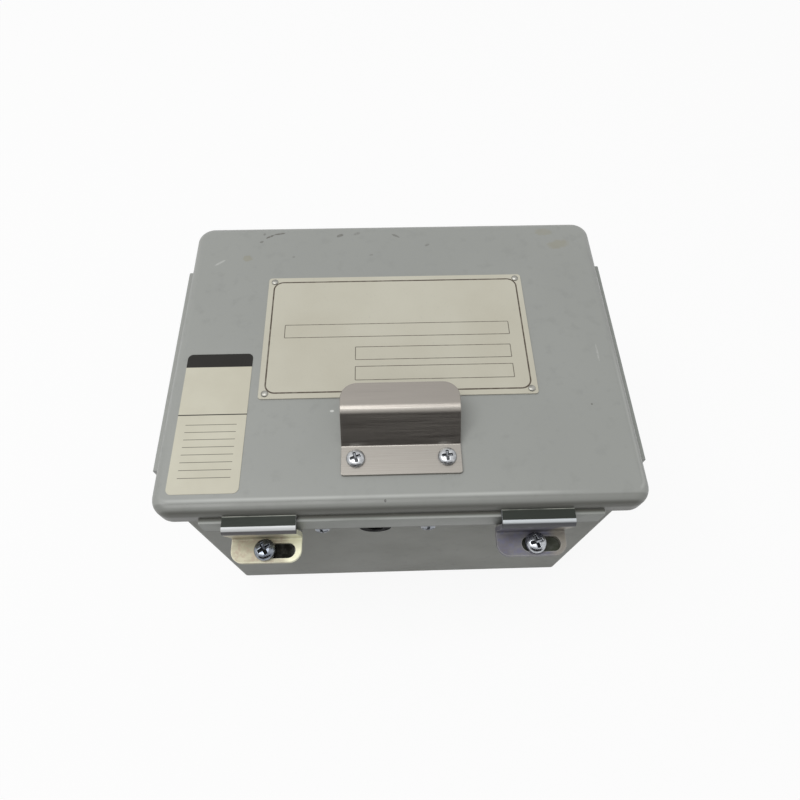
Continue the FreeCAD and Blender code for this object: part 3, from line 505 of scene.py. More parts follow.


# zinc plate of the clamps: yellowish on the left, dull and bluer on the right; painted highlights on
# the plate's end, its rims and the crest, painted shade on the nose and a painted dark reflection on
# the toes; spans in mm
clampZinc = {
    "clamp_left": {
        "plate": srgb(203, 198, 175), "tint": srgb(184, 180, 157), "blush": srgb(186, 168, 150),
        "rimHighlight": srgb(240, 238, 214), "end": srgb(250, 249, 220), "crest": srgb(214, 216, 216),
        "nose": srgb(102, 101, 102), "crestZ": (-1.1, -0.7),
    },
    "clamp_right": {
        "plate": srgb(130, 129, 132), "tint": srgb(116, 114, 122), "blush": srgb(118, 118, 138),
        "rimHighlight": srgb(162, 162, 158), "end": srgb(152, 147, 137), "crest": srgb(206, 211, 214),
        "nose": srgb(94, 95, 98), "crestZ": (-0.85, -0.3),
    },
    "toe": srgb(46, 50, 45),
    "toeRim": srgb(150, 152, 144),
    "roughness": 0.5,
    "metallic": 0.2,
    "specular": 0.2,
    "mottle": {"perMetre": 140, "detail": 5, "low": 0.35, "high": 0.65},
    "blushPatches": {"perMetre": 420, "detail": 6, "grain": 0.7, "low": 0.46, "high": 0.62,
                     "to": (0, 0.7)},
    "endX": (-9.0, -4.0),
    "endPatches": {"perMetre": 200, "high": 0.6, "to": (0.75, 1.0)},
    "rimRadius": 0.9,
    "rimPatches": {"perMetre": 200, "high": 0.6, "to": (0.4, 0.9)},
    "noseZ": (-4.5, -3.0),
    "toeZ": (-0.05, -0.01),
    "toeRimY": (-0.5, -0.2),
    "toeRimPatches": {"perMetre": 90, "detail": 3, "high": 0.6, "to": (0.3, 0.9)},
    "gloss": {"perMetre": 900, "detail": 3, "stretch": (0.15, 1, 1), "to": (0.42, 0.56)},
    "grain": {"perMetre": 1300, "detail": 3, "stretch": (0.3, 1, 1)},
    "grainBump": (0.012, 0.4),
}


def plateClamp(name):
    look, tones = clampZinc, clampZinc[name]
    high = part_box(name)[1]
    zinc = Finish(name + "Zinc", tones["plate"], look["roughness"], look["metallic"], look["specular"])
    tone = zinc.mix(zinc.patches(**look["mottle"]), tones["plate"], tones["tint"])
    tone = zinc.mix(zinc.patches(**look["blushPatches"]), tone, tones["blush"])
    # painted highlight on the plate's end and along its rims
    end = zinc.both(zinc.band("X", high.x, look["endX"]), zinc.patches(**look["endPatches"]))
    tone = zinc.mix(end, tone, tones["end"])
    rim = zinc.both(zinc.edges(look["rimRadius"]), zinc.patches(**look["rimPatches"]))
    tone = zinc.mix(rim, tone, tones["rimHighlight"])
    # going up the riser: painted shade on the grey nose, a painted highlight on the crest, a painted
    # dark reflection on the flat toe, and a painted highlight along its rear edge
    toe = zinc.band("Z", high.z, look["toeZ"])
    toeRim = zinc.both(toe, zinc.band("Y", high.y, look["toeRimY"]),
                       zinc.patches(**look["toeRimPatches"]))
    tone = zinc.mix(zinc.band("Z", high.z, look["noseZ"]), tone, tones["nose"])
    tone = zinc.mix(zinc.band("Z", high.z, tones["crestZ"]), tone, tones["crest"])
    tone = zinc.mix(toe, tone, look["toe"])
    zinc.colour(zinc.mix(toeRim, tone, look["toeRim"]))
    zinc.rough(zinc.patches(**look["gloss"]))
    zinc.bump(zinc.noise(**look["grain"]), *look["grainBump"])
    zinc.wear(name)


for name in ("clamp_left", "clamp_right"):
    plateClamp(name)
print("clamps plated")


# bright metal of the fasteners: face, dull patches, painted shade in a recess, lowest and highest
# roughness
fastenerTones = {
    "screwZinc": (srgb(186, 189, 193), srgb(150, 153, 158), srgb(38, 40, 44), (0.16, 0.32)),
    "clampScrewZinc": (srgb(142, 148, 156), srgb(104, 110, 120), srgb(38, 40, 44), (0.16, 0.32)),
    "pullScrewZinc": (srgb(190, 192, 194), srgb(160, 162, 165), srgb(72, 74, 78), (0.26, 0.4)),
    "wallScrewZinc": (srgb(150, 153, 158), srgb(142, 148, 156), srgb(38, 40, 44), (0.3, 0.45)),
    "rivetAlloy": (srgb(164, 163, 157), srgb(138, 137, 131), srgb(38, 40, 44), (0.34, 0.48)),
}
fastenerSkin = {
    "dullPatches": {"perMetre": 420, "low": 0.4, "high": 0.65},
    "recessShadeStrength": 0.85,
    "gloss": {"perMetre": 1500, "detail": 3},
    "grain": {"perMetre": 2400, "detail": 2},
    "grainBump": (0.01, 0.4),
}


def fastenerFinish(name):
    face, dull, recess, polish = fastenerTones[name]
    zinc = Finish(name, face, polish[0], 1.0)
    tone = zinc.mix(zinc.patches(**fastenerSkin["dullPatches"]), face, dull)
    # painted shade in the recess: the recess weights darken the colour
    darkening = zinc.calc("MULTIPLY", zinc.attribute("darkening"), fastenerSkin["recessShadeStrength"])
    zinc.colour(zinc.mix(darkening, tone, recess))
    zinc.rough(zinc.patches(to=polish, **fastenerSkin["gloss"]))
    zinc.bump(zinc.noise(**fastenerSkin["grain"]), *fastenerSkin["grainBump"])
    return zinc


screwZinc = fastenerFinish("screwZinc")
screwZinc.wear("clamp_washer_left", "clamp_washer_right", "entry_nuts", "pull_nuts", "panel_studs",
               "panel_nuts", "din_rail_screws")


def gridFaces(rows, columns, first=0):
    # quads of rings of points, each ring closed, rows running outwards and down; then the two caps
    row, column = np.meshgrid(np.arange(rows - 1), np.arange(columns), indexing="ij")
    following = (column + 1) % columns
    corners = (row * columns + column, (row + 1) * columns + column, (row + 1) * columns + following,
               row * columns + following)
    around = np.arange(columns)
    topPole, lowPole = rows * columns, rows * columns + 1
    top = np.stack((np.full(columns, topPole), around, (around + 1) % columns), -1)
    last = (rows - 1) * columns
    low = np.stack((np.full(columns, lowPole), last + (around + 1) % columns, last + around), -1)
    quads = np.stack(corners, -1).reshape(-1, 4)
    return (quads + first).tolist() + (top + first).tolist() + (low + first).tolist()


def joinShapes(shapes):
    # points and faces of several shapes, each given as its points and its counts of rings and columns
    allPoints, allFaces = [], []
    for points, (rows, columns) in shapes:
        allFaces += gridFaces(rows, columns, sum(len(part) for part in allPoints))
        allPoints.append(points)
    return np.concatenate(allPoints), allFaces


def addPiece(name, points, faces, body, slot, replaced=None, smooth=True):
    piece = makeMesh(name, points, faces, smooth)
    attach(piece, body)
    if replaced:
        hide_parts(replaced)
    return piece


def smoothStep(value):
    # 3 v^2 - 2 v^3, level at 0 and at 1
    value = np.clip(value, 0, 1)
    return value * value * (3 - 2 * value)


# form of every head and shank, in shares of its own size
headForm = {
    "side": 0.28,
    "crown": 3.0,           # power of the dome: the larger, the flatter its top
    "firstRing": 0.03,
    "shoulder": 0.78,
    "shoulderRings": 9,
    "underside": 0.985,
    "sideFoot": 0.1,
    "tipRadius": 0.7,
    "tipLength": 0.3,
    "armFall": 0.55,
}


def recessShape(screw, u, v):
    # smooth steps across and along the arms: 1 in the recess and 0 outside it. The second result is
    # the distance out as a share of the arms' reach.
    if screw["arms"] == 4:
        near, far = np.minimum(abs(u), abs(v)), np.maximum(abs(u), abs(v))
    else:
        near, far = abs(v), abs(u)
    half, reach, blur = screw["armHalf"], screw["armReach"], screw["blur"]
    across, along = (smoothStep(inner / blur + 0.5) for inner in (half - near, reach - far))
    return across * along, far / reach


def screwShape(screw):
    # rings round the axis: over the crowned head, down its side, in under it and down the shank to a
    # blunt tip. Height over the head = side + (height - side) * sqrt(1 - (r / radius)^crown), less the
    # recess, whose depth falls off along its arms. Each pole is one point.
    form = {**headForm, **screw}
    radius, height, recess = form["headRadius"], form["headHeight"], form["recessDepth"]
    shank, length = form["shankRadius"], form["shankLength"]
    side, shoulder = form["side"] * height, form["shoulder"]
    over = np.sin(np.linspace(0, np.pi / 2, form["shoulderRings"])[1:])
    part = np.concatenate((np.linspace(form["firstRing"], shoulder, form["rings"]),
                           shoulder + (1 - shoulder) * over))
    crown = side + (height - side) * np.sqrt(np.clip(1 - part ** form["crown"], 0, 1))
    ringR = np.concatenate((radius * part, [radius, form["underside"] * radius, shank, shank,
                                            form["tipRadius"] * shank]))[:, None]
    ringZ = np.concatenate((crown, [form["sideFoot"] * side, 0, 0, form["tipLength"] * shank - length,
                                    -length]))[:, None]
    angle = np.linspace(0, 2 * np.pi, form["columns"], endpoint=False)
    inside = depth = 0 * ringR * angle
    if recess:
        turned = angle - form["turn"]
        inside, out = recessShape(form, ringR * np.cos(turned), ringR * np.sin(turned))
        inside[len(part):] = 0
        depth = inside * recess * (1 - form["armFall"] * out)
    rings = np.stack((ringR * np.cos(angle), ringR * np.sin(angle), ringZ - depth), -1)
    points = np.concatenate((rings.reshape(-1, 3), [(0, 0, height - recess), (0, 0, -length)]))
    darkening = np.concatenate((inside.reshape(-1), [float(recess > 0), 0]))
    return points, (len(ringR), form["columns"]), darkening


def buildScrews(name, screws, body, replaced, finish, slot):
    # every screw is turned to its axis, put at its seat and joined to one mesh
    shapes, allRecessShade = [], []
    for screw in screws:
        points, counts, darkening = screwShape(screw)
        if screw["axis"] == "-Y":
            points = np.stack((points[:, 0], -points[:, 2], points[:, 1]), -1)
        shapes.append((points + np.array(screw["seat"]), counts))
        allRecessShade.append(darkening)
    piece = addPiece(name, *joinShapes(shapes), body, slot, replaced)
    # a weight per point for the painted shade in each recess
    layer = piece.data.attributes.new("darkening", "FLOAT", "POINT")
    layer.data.foreach_set("value", np.concatenate(allRecessShade))
    finish.wear(name)


# cross-recess pan heads, in mm; seats are read from the nodes that they stand for
clampScrew = {
    "headRadius": 4.65, "headHeight": 3.4, "shankRadius": 2.4, "shankLength": 12.0, "recessDepth": 2.0,
    "armReach": 2.75, "armHalf": 0.62, "blur": 0.3, "rings": 30, "columns": 144,
}
pullScrew = {
    "headRadius": 4.1, "headHeight": 2.7, "shankRadius": 1.75, "shankLength": 9.5, "recessDepth": 1.6,
    "armReach": 2.3, "armHalf": 0.55, "blur": 0.28, "rings": 26, "columns": 128,
}
entryScrew = {
    "headRadius": 3.8, "headHeight": 2.6, "shankRadius": 2.0, "shankLength": 10.0, "recessDepth": 1.5,
    "armReach": 2.8, "armHalf": 0.62, "blur": 0.28, "rings": 26, "columns": 128,
}
# turns of the recesses in radians, left and right
screwTurns = {"clamp": (0.5, 0.28), "pull": (0.3, 0.05), "entry": (0.12, -0.06)}
plainNumbers = ("rings", "columns", "crown", "side")    # the rest are lengths


def screwAt(kind, seat, turn=0.0, axis="Z", arms=4):
    screw = {key: value if key in plainNumbers else value * mm for key, value in kind.items()}
    return {**screw, "seat": seat, "turn": turn, "axis": axis, "arms": arms}


def buildFasteners():
    clampFinishes = (("left", fastenerFinish("clampScrewZinc")), ("right", screwZinc))
    for (hand, finish), turn in zip(clampFinishes, screwTurns["clamp"]):
        low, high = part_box("clamp_screw_" + hand)
        seat = ((low.x + high.x) / 2, (low.y + high.y) / 2, high.z - clampScrew["headHeight"] * mm)
        buildScrews(hand + "ClampScrew", [screwAt(clampScrew, seat, turn)], "screw_" + hand,
                    "clamp_screw_" + hand, finish, "bright_zinc")

    low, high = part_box("pull_screws")
    radius, seatZ = pullScrew["headRadius"] * mm, high.z - pullScrew["headHeight"] * mm
    row = [screwAt(pullScrew, (x, (low.y + high.y) / 2, seatZ), turn)
           for x, turn in zip((low.x + radius, high.x - radius), screwTurns["pull"])]
    buildScrews("pullScrews", row, "lid", "pull_screws",
                fastenerFinish("pullScrewZinc"), "bright_zinc")

    low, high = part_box("entry_screws")
    radius, seatY = entryScrew["headRadius"] * mm, low.y + entryScrew["headHeight"] * mm
    row = [screwAt(entryScrew, (x, seatY, (low.z + high.z) / 2), turn, "-Y")
           for x, turn in zip((low.x + radius, high.x - radius), screwTurns["entry"])]
    buildScrews("entryScrews", row, "case", "entry_screws",
                fastenerFinish("wallScrewZinc"), "bright_zinc")


buildFasteners()
print("fasteners built")


def roundedRim(steps):
    # four quarter circles: a rounded rectangle = signs * (half size - corner) + corner * quarters
    quarter = np.arange(4).repeat(steps)
    angle = quarter * np.pi / 2 + np.tile(np.linspace(0, np.pi / 2, steps), 4)
    diagonal = (quarter + 0.5) * np.pi / 2
    signs = np.sign(np.stack((np.cos(diagonal), np.sin(diagonal)), -1))
    return signs, np.stack((np.cos(angle), np.sin(angle)), -1)


# bent stainless pull: sizes in mm, bends to the middle of the sheet; width and height are the node's
pullSheet = {
    "wall": 1.5,
    "foot": 13.3,
    "lean": 45.0,           # degrees
    "flange": 13.0,
    "heelRadius": 1.6,
    "crestRadius": 5.2,
    "earRadius": 7.3,
    "footCorner": 1.2,
    "edge": 0.25,
    "bendSteps": 24,
    "earSteps": 18,
    "edgeSteps": 4,
}


def buildPull():
    # a flat ring of sheet carried along a path: foot, leaning riser and flange, joined by arcs that
    # touch both straights. Half width near the path's ends = width - radius + radius * sin, so the
    # corners are quarter circles.
    low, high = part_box("pull_bracket")
    lengths = ("wall", "edge", "footCorner", "earRadius", "heelRadius", "crestRadius")
    wall, edge, foot, ear, heelR, crestR = (pullSheet[key] * mm for key in lengths)
    lean = np.radians(pullSheet["lean"])
    half = (high.x - low.x) / 2
    floorZ, topZ = low.z + wall / 2, high.z - wall / 2
    rise = (topZ - floorZ) / np.tan(lean)
    footEnd = low.y + pullSheet["foot"] * mm
    heelY = footEnd + wall / 2 * np.tan(lean / 2)
    heelStart = heelY - heelR * np.tan(lean / 2)
    crestEnd = heelY + rise + crestR * np.tan(lean / 2)
    endY = footEnd + rise + pullSheet["flange"] * mm

    corner = np.linspace(0, np.pi / 2, pullSheet["earSteps"])
    bend = np.linspace(0, lean, pullSheet["bendSteps"])
    cornerBack, bendBack = corner[::-1], bend[::-1]
    y = np.concatenate((low.y + foot * (1 - np.cos(corner)), heelStart + heelR * np.sin(bend),
                        crestEnd - crestR * np.sin(bendBack),
                        endY - ear * (1 - np.cos(cornerBack))))[:, None]
    z = np.concatenate((floorZ + 0 * corner, floorZ + heelR * (1 - np.cos(bend)),
                        topZ - crestR * (1 - np.cos(bendBack)), topZ + 0 * corner))[:, None]
    heading = np.concatenate((0 * corner, bend, bendBack, 0 * corner))[:, None]
    width = np.concatenate((half - foot + foot * np.sin(corner), half + 0 * bend, half + 0 * bend,
                            half - ear + ear * np.sin(cornerBack)))[:, None]
    signs, quarters = roundedRim(pullSheet["edgeSteps"])
    x = signs[:, 0] * (width - edge) + edge * quarters[:, 0]
    out = signs[:, 1] * (wall / 2 - edge) + edge * quarters[:, 1] + 0 * width
    rings = np.stack((x, y - out * np.sin(heading), z + out * np.cos(heading)), -1)
    points = np.concatenate((rings.reshape(-1, 3), [(0, y[0, 0], floorZ), (0, y[-1, 0], topZ)]))
    addPiece("bentPull", points, gridFaces(len(y), len(signs)), "lid", "stainless", "pull_bracket",
             smooth=False)


stainless = {
    "face": srgb(151, 147, 141),
    "streak": srgb(141, 137, 131),
    "flangeTone": srgb(141, 136, 130),
    "roughness": 0.36,
    "grain": {"perMetre": 2600, "stretch": (0.012, 1, 1), "grain": 0.7},
    "grainStep": (0.35, 0.68),
    "broad": {"perMetre": 180, "detail": 3, "stretch": (0.05, 1, 1), "low": 0.45, "to": (0, 0.25)},
    "flangeZ": (-0.4, -0.1),
    "flangeStrength": 0.75,
    "gloss": (0.3, 0.7, (0.3, 0.44)),
    "grainBump": (0.008, 0.4),
}


def brushPull():
    # grain drawn out along the pull, and the flange's top a little darker
    steel = Finish("brushedPull", stainless["face"], stainless["roughness"], 1.0)
    grain = steel.noise(**stainless["grain"])
    streaks = steel.between(grain, *stainless["grainStep"])
    tone = steel.mix(streaks, stainless["face"], stainless["streak"])
    tone = steel.mix(steel.patches(**stainless["broad"]), tone, stainless["streak"])
    flange = steel.band("Z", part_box("pull_bracket")[1].z, stainless["flangeZ"],
                        (0.0, stainless["flangeStrength"]))
    steel.colour(steel.mix(flange, tone, stainless["flangeTone"]))
    steel.rough(steel.between(grain, *stainless["gloss"]))
    steel.bump(grain, *stainless["grainBump"])
    steel.wear("bentPull")


buildPull()
brushPull()
print("pull built")


# cream plate with a ruled border and empty fields, in mm; the fields are from the plate's middle
namePlate = {
    "left": -65.0, "right": 64.5, "front": -29.9, "rear": 40.9,
    "thick": 0.8, "corner": 1.5, "cornerSteps": 8,
    "face": srgb(206, 203, 187),
    "aged": srgb(197, 193, 176),
    "line": srgb(70, 58, 44),
    "fieldLine": srgb(92, 86, 74),
    # duller cream for worn patches, and painted shade on the plate's side faces
    "edge": srgb(178, 176, 168),
    "border": {"inset": 3.0, "corner": 4.6, "width": 0.75},
    "fields": [((0.15, 1.9), (54.8, 3.75)), ((17.15, -11.5), (37.3, 3.6)),
               ((17.15, -22.6), (37.3, 3.7))],
    "fieldWidth": 0.38,
    "fieldCorner": 0.3,
    "edgeZ": (-0.1, -0.3),
    "roughness": 0.42,
    "agedPatches": {"perMetre": 14, "low": 0.35},
    "dulled": {"perMetre": 700, "low": 0.6, "high": 0.8, "to": (0, 0.35)},
    "faded": {"perMetre": 350, "detail": 3, "high": 0.6, "to": (0.8, 1.0)},
    "gloss": {"perMetre": 30, "detail": 3, "to": (0.38, 0.52)},
    "grain": {"perMetre": 1600, "detail": 2},
    "grainBump": (0.008, 0.4),
    "rivetInset": (3.05, 2.7),
}
rivetHead = {
    "headRadius": 1.7, "headHeight": 0.9, "shankRadius": 1.0, "shankLength": 0.8, "recessDepth": 0.0,
    "rings": 12, "columns": 40, "crown": 2.0, "side": 0.1,
}
# rows of a thin sheet, from its top face to its seat: share of its outline and of its thickness
sheetRows = [(0.3, 1.0), (0.7, 1.0), (0.998, 1.0), (1.0, 0.7), (1.0, 0.0)]


def sheetSpan(sheet):
    # low and high corner of a sheet on the lid, in metres
    return (np.array([sheet[x], sheet[y]]) * mm for x, y in (("left", "front"), ("right", "rear")))


def buildSheet(name, sheet, node, slot):
    # rounded rectangle: each row is the rim times a share, at a share of the thickness, and the middle
    # of each face is one point
    low, high = sheetSpan(sheet)
    corner, thick = sheet["corner"] * mm, sheet["thick"] * mm
    signs, quarters = roundedRim(sheet["cornerSteps"])
    rim = ((high - low) / 2 - corner) * signs + corner * quarters
    share, height = (np.array(part)[:, None] for part in zip(*sheetRows))
    rows = np.stack((share * rim[:, 0], share * rim[:, 1], height * thick + 0 * rim[:, 0]), -1)
    points = np.concatenate((rows.reshape(-1, 3), [(0, 0, thick), (0, 0, 0)]))
    points += np.array([*(low + high) / 2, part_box(node)[0].z])
    addPiece(name, points, gridFaces(len(share), len(rim)), "lid", slot, node, smooth=False)


def rivetPlate():
    low, high = sheetSpan(namePlate)
    inset = np.array(namePlate["rivetInset"]) * mm
    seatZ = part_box("nameplate_rivets")[1].z - rivetHead["headHeight"] * mm
    ends = (low + inset, high - inset)
    rivets = [screwAt(rivetHead, (x, y, seatZ)) for x, _ in ends for _, y in ends]
    buildScrews("plateRivets", rivets, "lid", "nameplate_rivets",
                fastenerFinish("rivetAlloy"), "rivet_alloy")


def printPlate():
    low, high = sheetSpan(namePlate)
    middle = (low + high) / 2
    ink = Finish("creamPlate", namePlate["face"], namePlate["roughness"])
    tone = ink.mix(ink.patches(**namePlate["agedPatches"]), namePlate["face"], namePlate["aged"])
    tone = ink.mix(ink.patches(**namePlate["dulled"]), tone, namePlate["edge"])
    faded = ink.patches(**namePlate["faded"])
    border = {key: value * mm for key, value in namePlate["border"].items()}
    ring = ink.outline(middle, (high - low) / 2 - border["inset"], border["corner"], border["width"])
    tone = ink.mix(ink.both(ring, faded), tone, namePlate["line"])
    corner, width = namePlate["fieldCorner"] * mm, namePlate["fieldWidth"] * mm
    for place, half in namePlate["fields"]:
        field = ink.outline(middle + np.array(place) * mm, np.array(half) * mm, corner, width)
        tone = ink.mix(ink.both(field, faded), tone, namePlate["fieldLine"])
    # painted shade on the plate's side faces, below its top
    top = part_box("nameplate")[0].z + namePlate["thick"] * mm
    ink.colour(ink.mix(ink.band("Z", top, namePlate["edgeZ"]), tone, namePlate["edge"]))
    ink.rough(ink.patches(**namePlate["gloss"]))
    ink.bump(ink.noise(**namePlate["grain"]), *namePlate["grainBump"])
    ink.wear("creamPlate")


# blank cream label, in mm: plain dark head, a dividing line and ruled lines, all from its rear edge
sideLabel = {
    "left": -99.95, "right": -69.15, "front": -74.5, "rear": -4.6,
    "thick": 0.25, "corner": 2.5, "cornerSteps": 10,
    "face": srgb(218, 215, 197),
    "aged": srgb(208, 204, 186),
    "line": srgb(30, 28, 25),
    "rule": srgb(116, 113, 102),
    "head": 7.3,
    "headBlur": 0.12,
    "divide": 32.5,
    "divideWidth": 0.5,
    "rules": [37.5, 41.1, 44.7, 48.3, 51.9, 55.5, 59.1, 62.7],
    "ruleWidth": 0.3,
    "ruleBlur": 0.08,
    "leftEnd": (4.0, 4.1),
    "rightEnd": (-4.0, -4.1),
    "roughness": 0.5,
    "specular": 0.25,
    "agedPatches": {"perMetre": 22, "low": 0.35},
    "divideWear": {"perMetre": 300, "low": 0.25, "high": 0.45, "to": (0.94, 1.0)},
    "gloss": {"perMetre": 40, "detail": 3, "to": (0.44, 0.6)},
    "waves": {"perMetre": 60, "detail": 3},
    "waveBump": (0.05, 0.3),
}


def printLabel():
    film = Finish("creamFilm", sideLabel["face"], sideLabel["roughness"],
                  specular=sideLabel["specular"])
    rear, blur = sideLabel["rear"] * mm, sideLabel["ruleBlur"]
    down = film.calc("SUBTRACT", rear, film.axis["Y"])

    def bar(at, width):
        away = film.calc("ABSOLUTE", film.calc("SUBTRACT", down, at * mm))
        return film.between(away, (0.5 * width + blur) * mm, (0.5 * width - blur) * mm)

    tone = film.mix(film.patches(**sideLabel["agedPatches"]), sideLabel["face"], sideLabel["aged"])
    headEdge = ((sideLabel["head"] + step * sideLabel["headBlur"]) * mm for step in (1, -1))
    tone = film.mix(film.between(down, *headEdge), tone, sideLabel["line"])
    divide = film.both(bar(sideLabel["divide"], sideLabel["divideWidth"]),
                       film.patches(**sideLabel["divideWear"]))
    tone = film.mix(divide, tone, sideLabel["line"])
    within = film.both(film.band("X", sideLabel["left"] * mm, sideLabel["leftEnd"]),
                       film.band("X", sideLabel["right"] * mm, sideLabel["rightEnd"]))
    for at in sideLabel["rules"]:
        tone = film.mix(film.both(bar(at, sideLabel["ruleWidth"]), within), tone, sideLabel["rule"])
    film.colour(tone)
    film.rough(film.patches(**sideLabel["gloss"]))
    film.bump(film.noise(**sideLabel["waves"]), *sideLabel["waveBump"])
    film.wear("creamLabel")


buildSheet("creamPlate", namePlate, "nameplate", "plate_face")
printPlate()
rivetPlate()
buildSheet("creamLabel", sideLabel, "side_label", "label_film")
printLabel()
print("plate and label finished")


# slotted screws, blank markers and relay clips on the terminal rail, in mm
terminalScrew = {
    "headRadius": 1.9, "headHeight": 0.9, "shankRadius": 1.2, "shankLength": 1.0, "recessDepth": 0.6,
    "armReach": 2.4, "armHalf": 0.28, "blur": 0.16, "rings": 9, "columns": 40, "crown": 4.0,
}
socketScrew = {
    **terminalScrew,
    "headRadius": 2.4, "headHeight": 1.2, "shankRadius": 1.5, "armReach": 2.9, "armHalf": 0.34,
}
terminals = {
    "count": 10, "width": 6.0, "ledgeDrop": 9.0, "screwOut": 15.25, "turnStep": 0.7,
    "markerHalf": (2.5, 4.6, 0.5), "markerSink": 0.1,
}
sockets = {
    "count": 2, "width": 27.0, "ledgeDrop": 6.0, "screwOut": 28.5, "screwPitch": 7.6, "turnStep": 1.3,
}
marker = {"rows": 12, "columns": 24, "square": 0.22}
relayClip = {
    "wire": 0.6, "out": 14.9, "over": 0.9, "around": 12, "along": 64, "square": 0.3, "start": 0.02,
}


def markerShape(middle, half):
    # superellipsoid: sines and cosines raised to a small power, so a box with soft edges
    def power(value):
        return np.sign(value) * abs(value) ** marker["square"]
    rise = np.linspace(np.pi / 2, -np.pi / 2, marker["rows"] + 2)[1:-1, None]
    angle = np.linspace(0, 2 * np.pi, marker["columns"], endpoint=False)
    ring = np.stack((half[0] * power(np.cos(rise)) * power(np.cos(angle)),
                     half[1] * power(np.cos(rise)) * power(np.sin(angle)),
                     half[2] * power(np.sin(rise)) + 0 * angle), -1).reshape(-1, 3)
    points = np.concatenate((ring, [(0, 0, half[2]), (0, 0, -half[2])]))
    return points + np.array(middle), (marker["rows"], marker["columns"])


def clipShape(x, low, top):
    # round wire carried along an arch with rounded corners: y = out * cos^square, rise = sin^square
    lean = np.linspace(relayClip["start"], np.pi - relayClip["start"], relayClip["along"])
    y = -relayClip["out"] * mm * np.sign(np.cos(lean)) * abs(np.cos(lean)) ** relayClip["square"]
    z = low + (top - low) * np.sin(lean) ** relayClip["square"]
    path = np.stack((0 * y, y, z), -1)
    along = np.gradient(path, axis=0)
    along /= np.linalg.norm(along, axis=1)[:, None]
    side = np.array([1.0, 0, 0])
    normal = np.cross(along, side)[:, None]
    angle = np.linspace(0, -2 * np.pi, relayClip["around"], endpoint=False)[:, None]
    ring = path[:, None] + relayClip["wire"] * mm * (np.cos(angle) * side + np.sin(angle) * normal)
    points = np.concatenate((ring.reshape(-1, 3), path[:1], path[-1:])) + np.array([x, 0, 0])
    return points, (relayClip["along"], relayClip["around"])


def rowOf(node, sizes):
    # middles of a row of equal parts along X, the ledge that their screws sit on and their top
    low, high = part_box(node)
    half = sizes["width"] * mm / 2
    middles = np.linspace(low.x + half, high.x - half, sizes["count"])
    return middles, high.z - sizes["ledgeDrop"] * mm, high.z


def dressRail():
    sides = (-1, 1)
    blocks, ledge, blockTop = rowOf("terminal_blocks", terminals)
    row = [screwAt(terminalScrew, (x, side * terminals["screwOut"] * mm, ledge),
                   terminals["turnStep"] * step + side, arms=2)
           for step, x in enumerate(blocks) for side in sides]
    relays, ledge, socketTop = rowOf("relay_sockets", sockets)
    pitch, out = sockets["screwPitch"] * mm, sockets["screwOut"] * mm
    row += [screwAt(socketScrew, (x + step * pitch, side * out, ledge),
                    sockets["turnStep"] * step + side, arms=2)
            for x in relays for step in (-1, 0, 1) for side in sides]
    buildScrews("terminalScrews", row, "case", None, screwZinc, "bright_zinc")

    half = np.array(terminals["markerHalf"]) * mm
    markerZ = blockTop + half[2] - terminals["markerSink"] * mm
    tiles = [markerShape((x, 0, markerZ), half) for x in blocks]
    addPiece("terminalMarkers", *joinShapes(tiles), "case", "terminal_plastic")

    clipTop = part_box("relays")[1].z + relayClip["over"] * mm
    clips = [clipShape(x, socketTop, clipTop) for x in relays]
    addPiece("relayClips", *joinShapes(clips), "case", "bright_zinc")
    screwZinc.wear("relayClips")


dressRail()
print("terminal rail dressed")


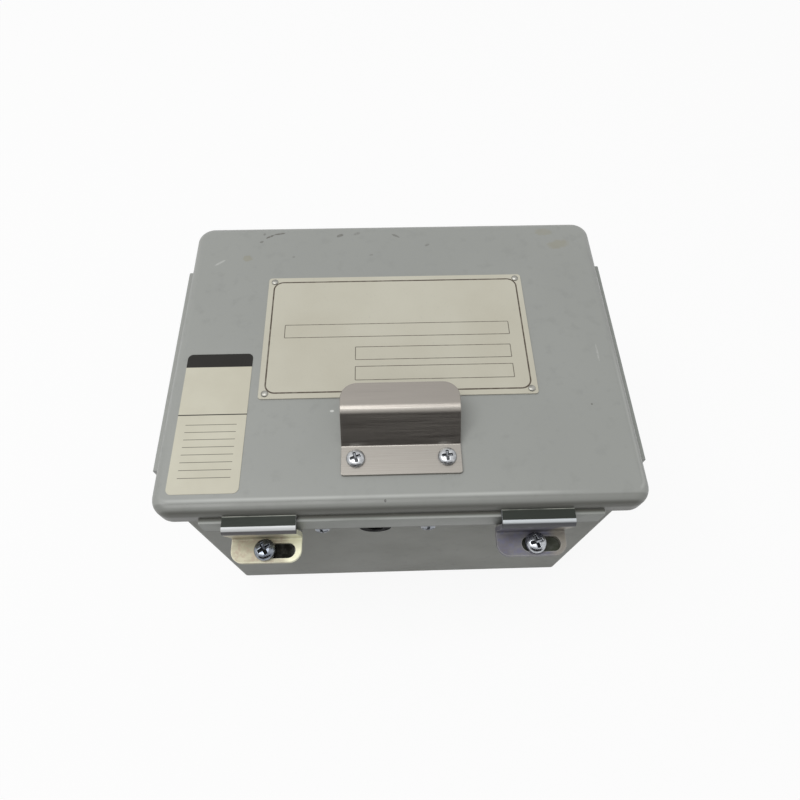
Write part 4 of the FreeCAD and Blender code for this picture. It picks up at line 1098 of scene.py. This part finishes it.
# rubber, sponge, mouldings and bare metal inside: two tones, roughness, grain per metre, depth in mm
dust, scuff = srgb(96, 94, 90), srgb(120, 118, 112)
innerFinishes = {
    "gasketSponge": {"nodes": ["lid_gasket"], "tones": (srgb(30, 30, 29), dust), "roughness": 0.9,
                     "grain": 1500, "depth": 0.3},
    "grommetRubber": {"nodes": ["cable_grommet"], "tones": (srgb(16, 16, 17), srgb(30, 30, 29)),
                      "roughness": 0.85, "grain": 900, "depth": 0.04, "specular": 0.2},
    "panelEnamel": {"nodes": ["inner_panel", "entry_plate"], "tones": (srgb(214, 214, 208), scuff),
                    "roughness": 0.4, "grain": 1100, "depth": 0.02},
    "railZinc": {"nodes": ["din_rail"], "tones": (srgb(188, 184, 166), scuff), "roughness": 0.34,
                 "grain": 1800, "depth": 0.02, "metallic": 1.0},
    "terminalMoulding": {"nodes": ["terminal_blocks"], "tones": (srgb(150, 153, 152), dust),
                         "roughness": 0.5, "grain": 1600, "depth": 0.03},
    "markerPlastic": {"nodes": ["terminalMarkers"], "tones": (srgb(222, 221, 214), scuff),
                      "roughness": 0.45, "grain": 1500, "depth": 0.02},
    "socketMoulding": {"nodes": ["end_stops", "relay_sockets"], "tones": (srgb(46, 46, 48), dust),
                       "roughness": 0.5, "grain": 1600, "depth": 0.03},
    "relayCover": {"nodes": ["relays"], "tones": (srgb(128, 134, 134), dust), "roughness": 0.16,
                   "grain": 700, "depth": 0.01, "coat": 0.6},
    "studBrass": {"nodes": ["earth_stud", "earth_nut"],
                  "tones": (srgb(190, 152, 84), srgb(118, 90, 52)),
                  "roughness": 0.34, "grain": 1400, "depth": 0.02, "metallic": 1.0},
}
innerSkin = {
    "patches": {"perMetre": 45, "detail": 5, "low": 0.45, "high": 0.75, "to": (0, 0.45)},
    "rimRadius": 0.3,
    "rimPatches": {"perMetre": 260, "low": 0.4, "high": 0.65, "to": (0, 0.4)},
    "glossShare": 0.3,          # gloss patches per grain
    "glossRange": (0.85, 1.15),
    "bumpStrength": 0.5,
}


def innerFinish(name, look):
    # two tones in cloudy patches over an even grain
    (colour, second), roughness = look["tones"], look["roughness"]
    skin = Finish(name, colour, roughness, look.get("metallic", 0.0), look.get("specular", 0.5))
    skin.shader.inputs["Coat Weight"].default_value = look.get("coat", 0.0)
    tone = skin.mix(skin.patches(**innerSkin["patches"]), colour, second)
    rim = skin.both(skin.edges(innerSkin["rimRadius"]), skin.patches(**innerSkin["rimPatches"]))
    skin.colour(skin.mix(rim, tone, second))
    gloss = [min(1.0, share * roughness) for share in innerSkin["glossRange"]]
    skin.rough(skin.patches(perMetre=look["grain"] * innerSkin["glossShare"], detail=3, to=gloss))
    skin.bump(skin.noise(look["grain"], 3), look["depth"], innerSkin["bumpStrength"])
    skin.wear(*look["nodes"])


for name, look in innerFinishes.items():
    innerFinish(name, look)
print("inside finished")
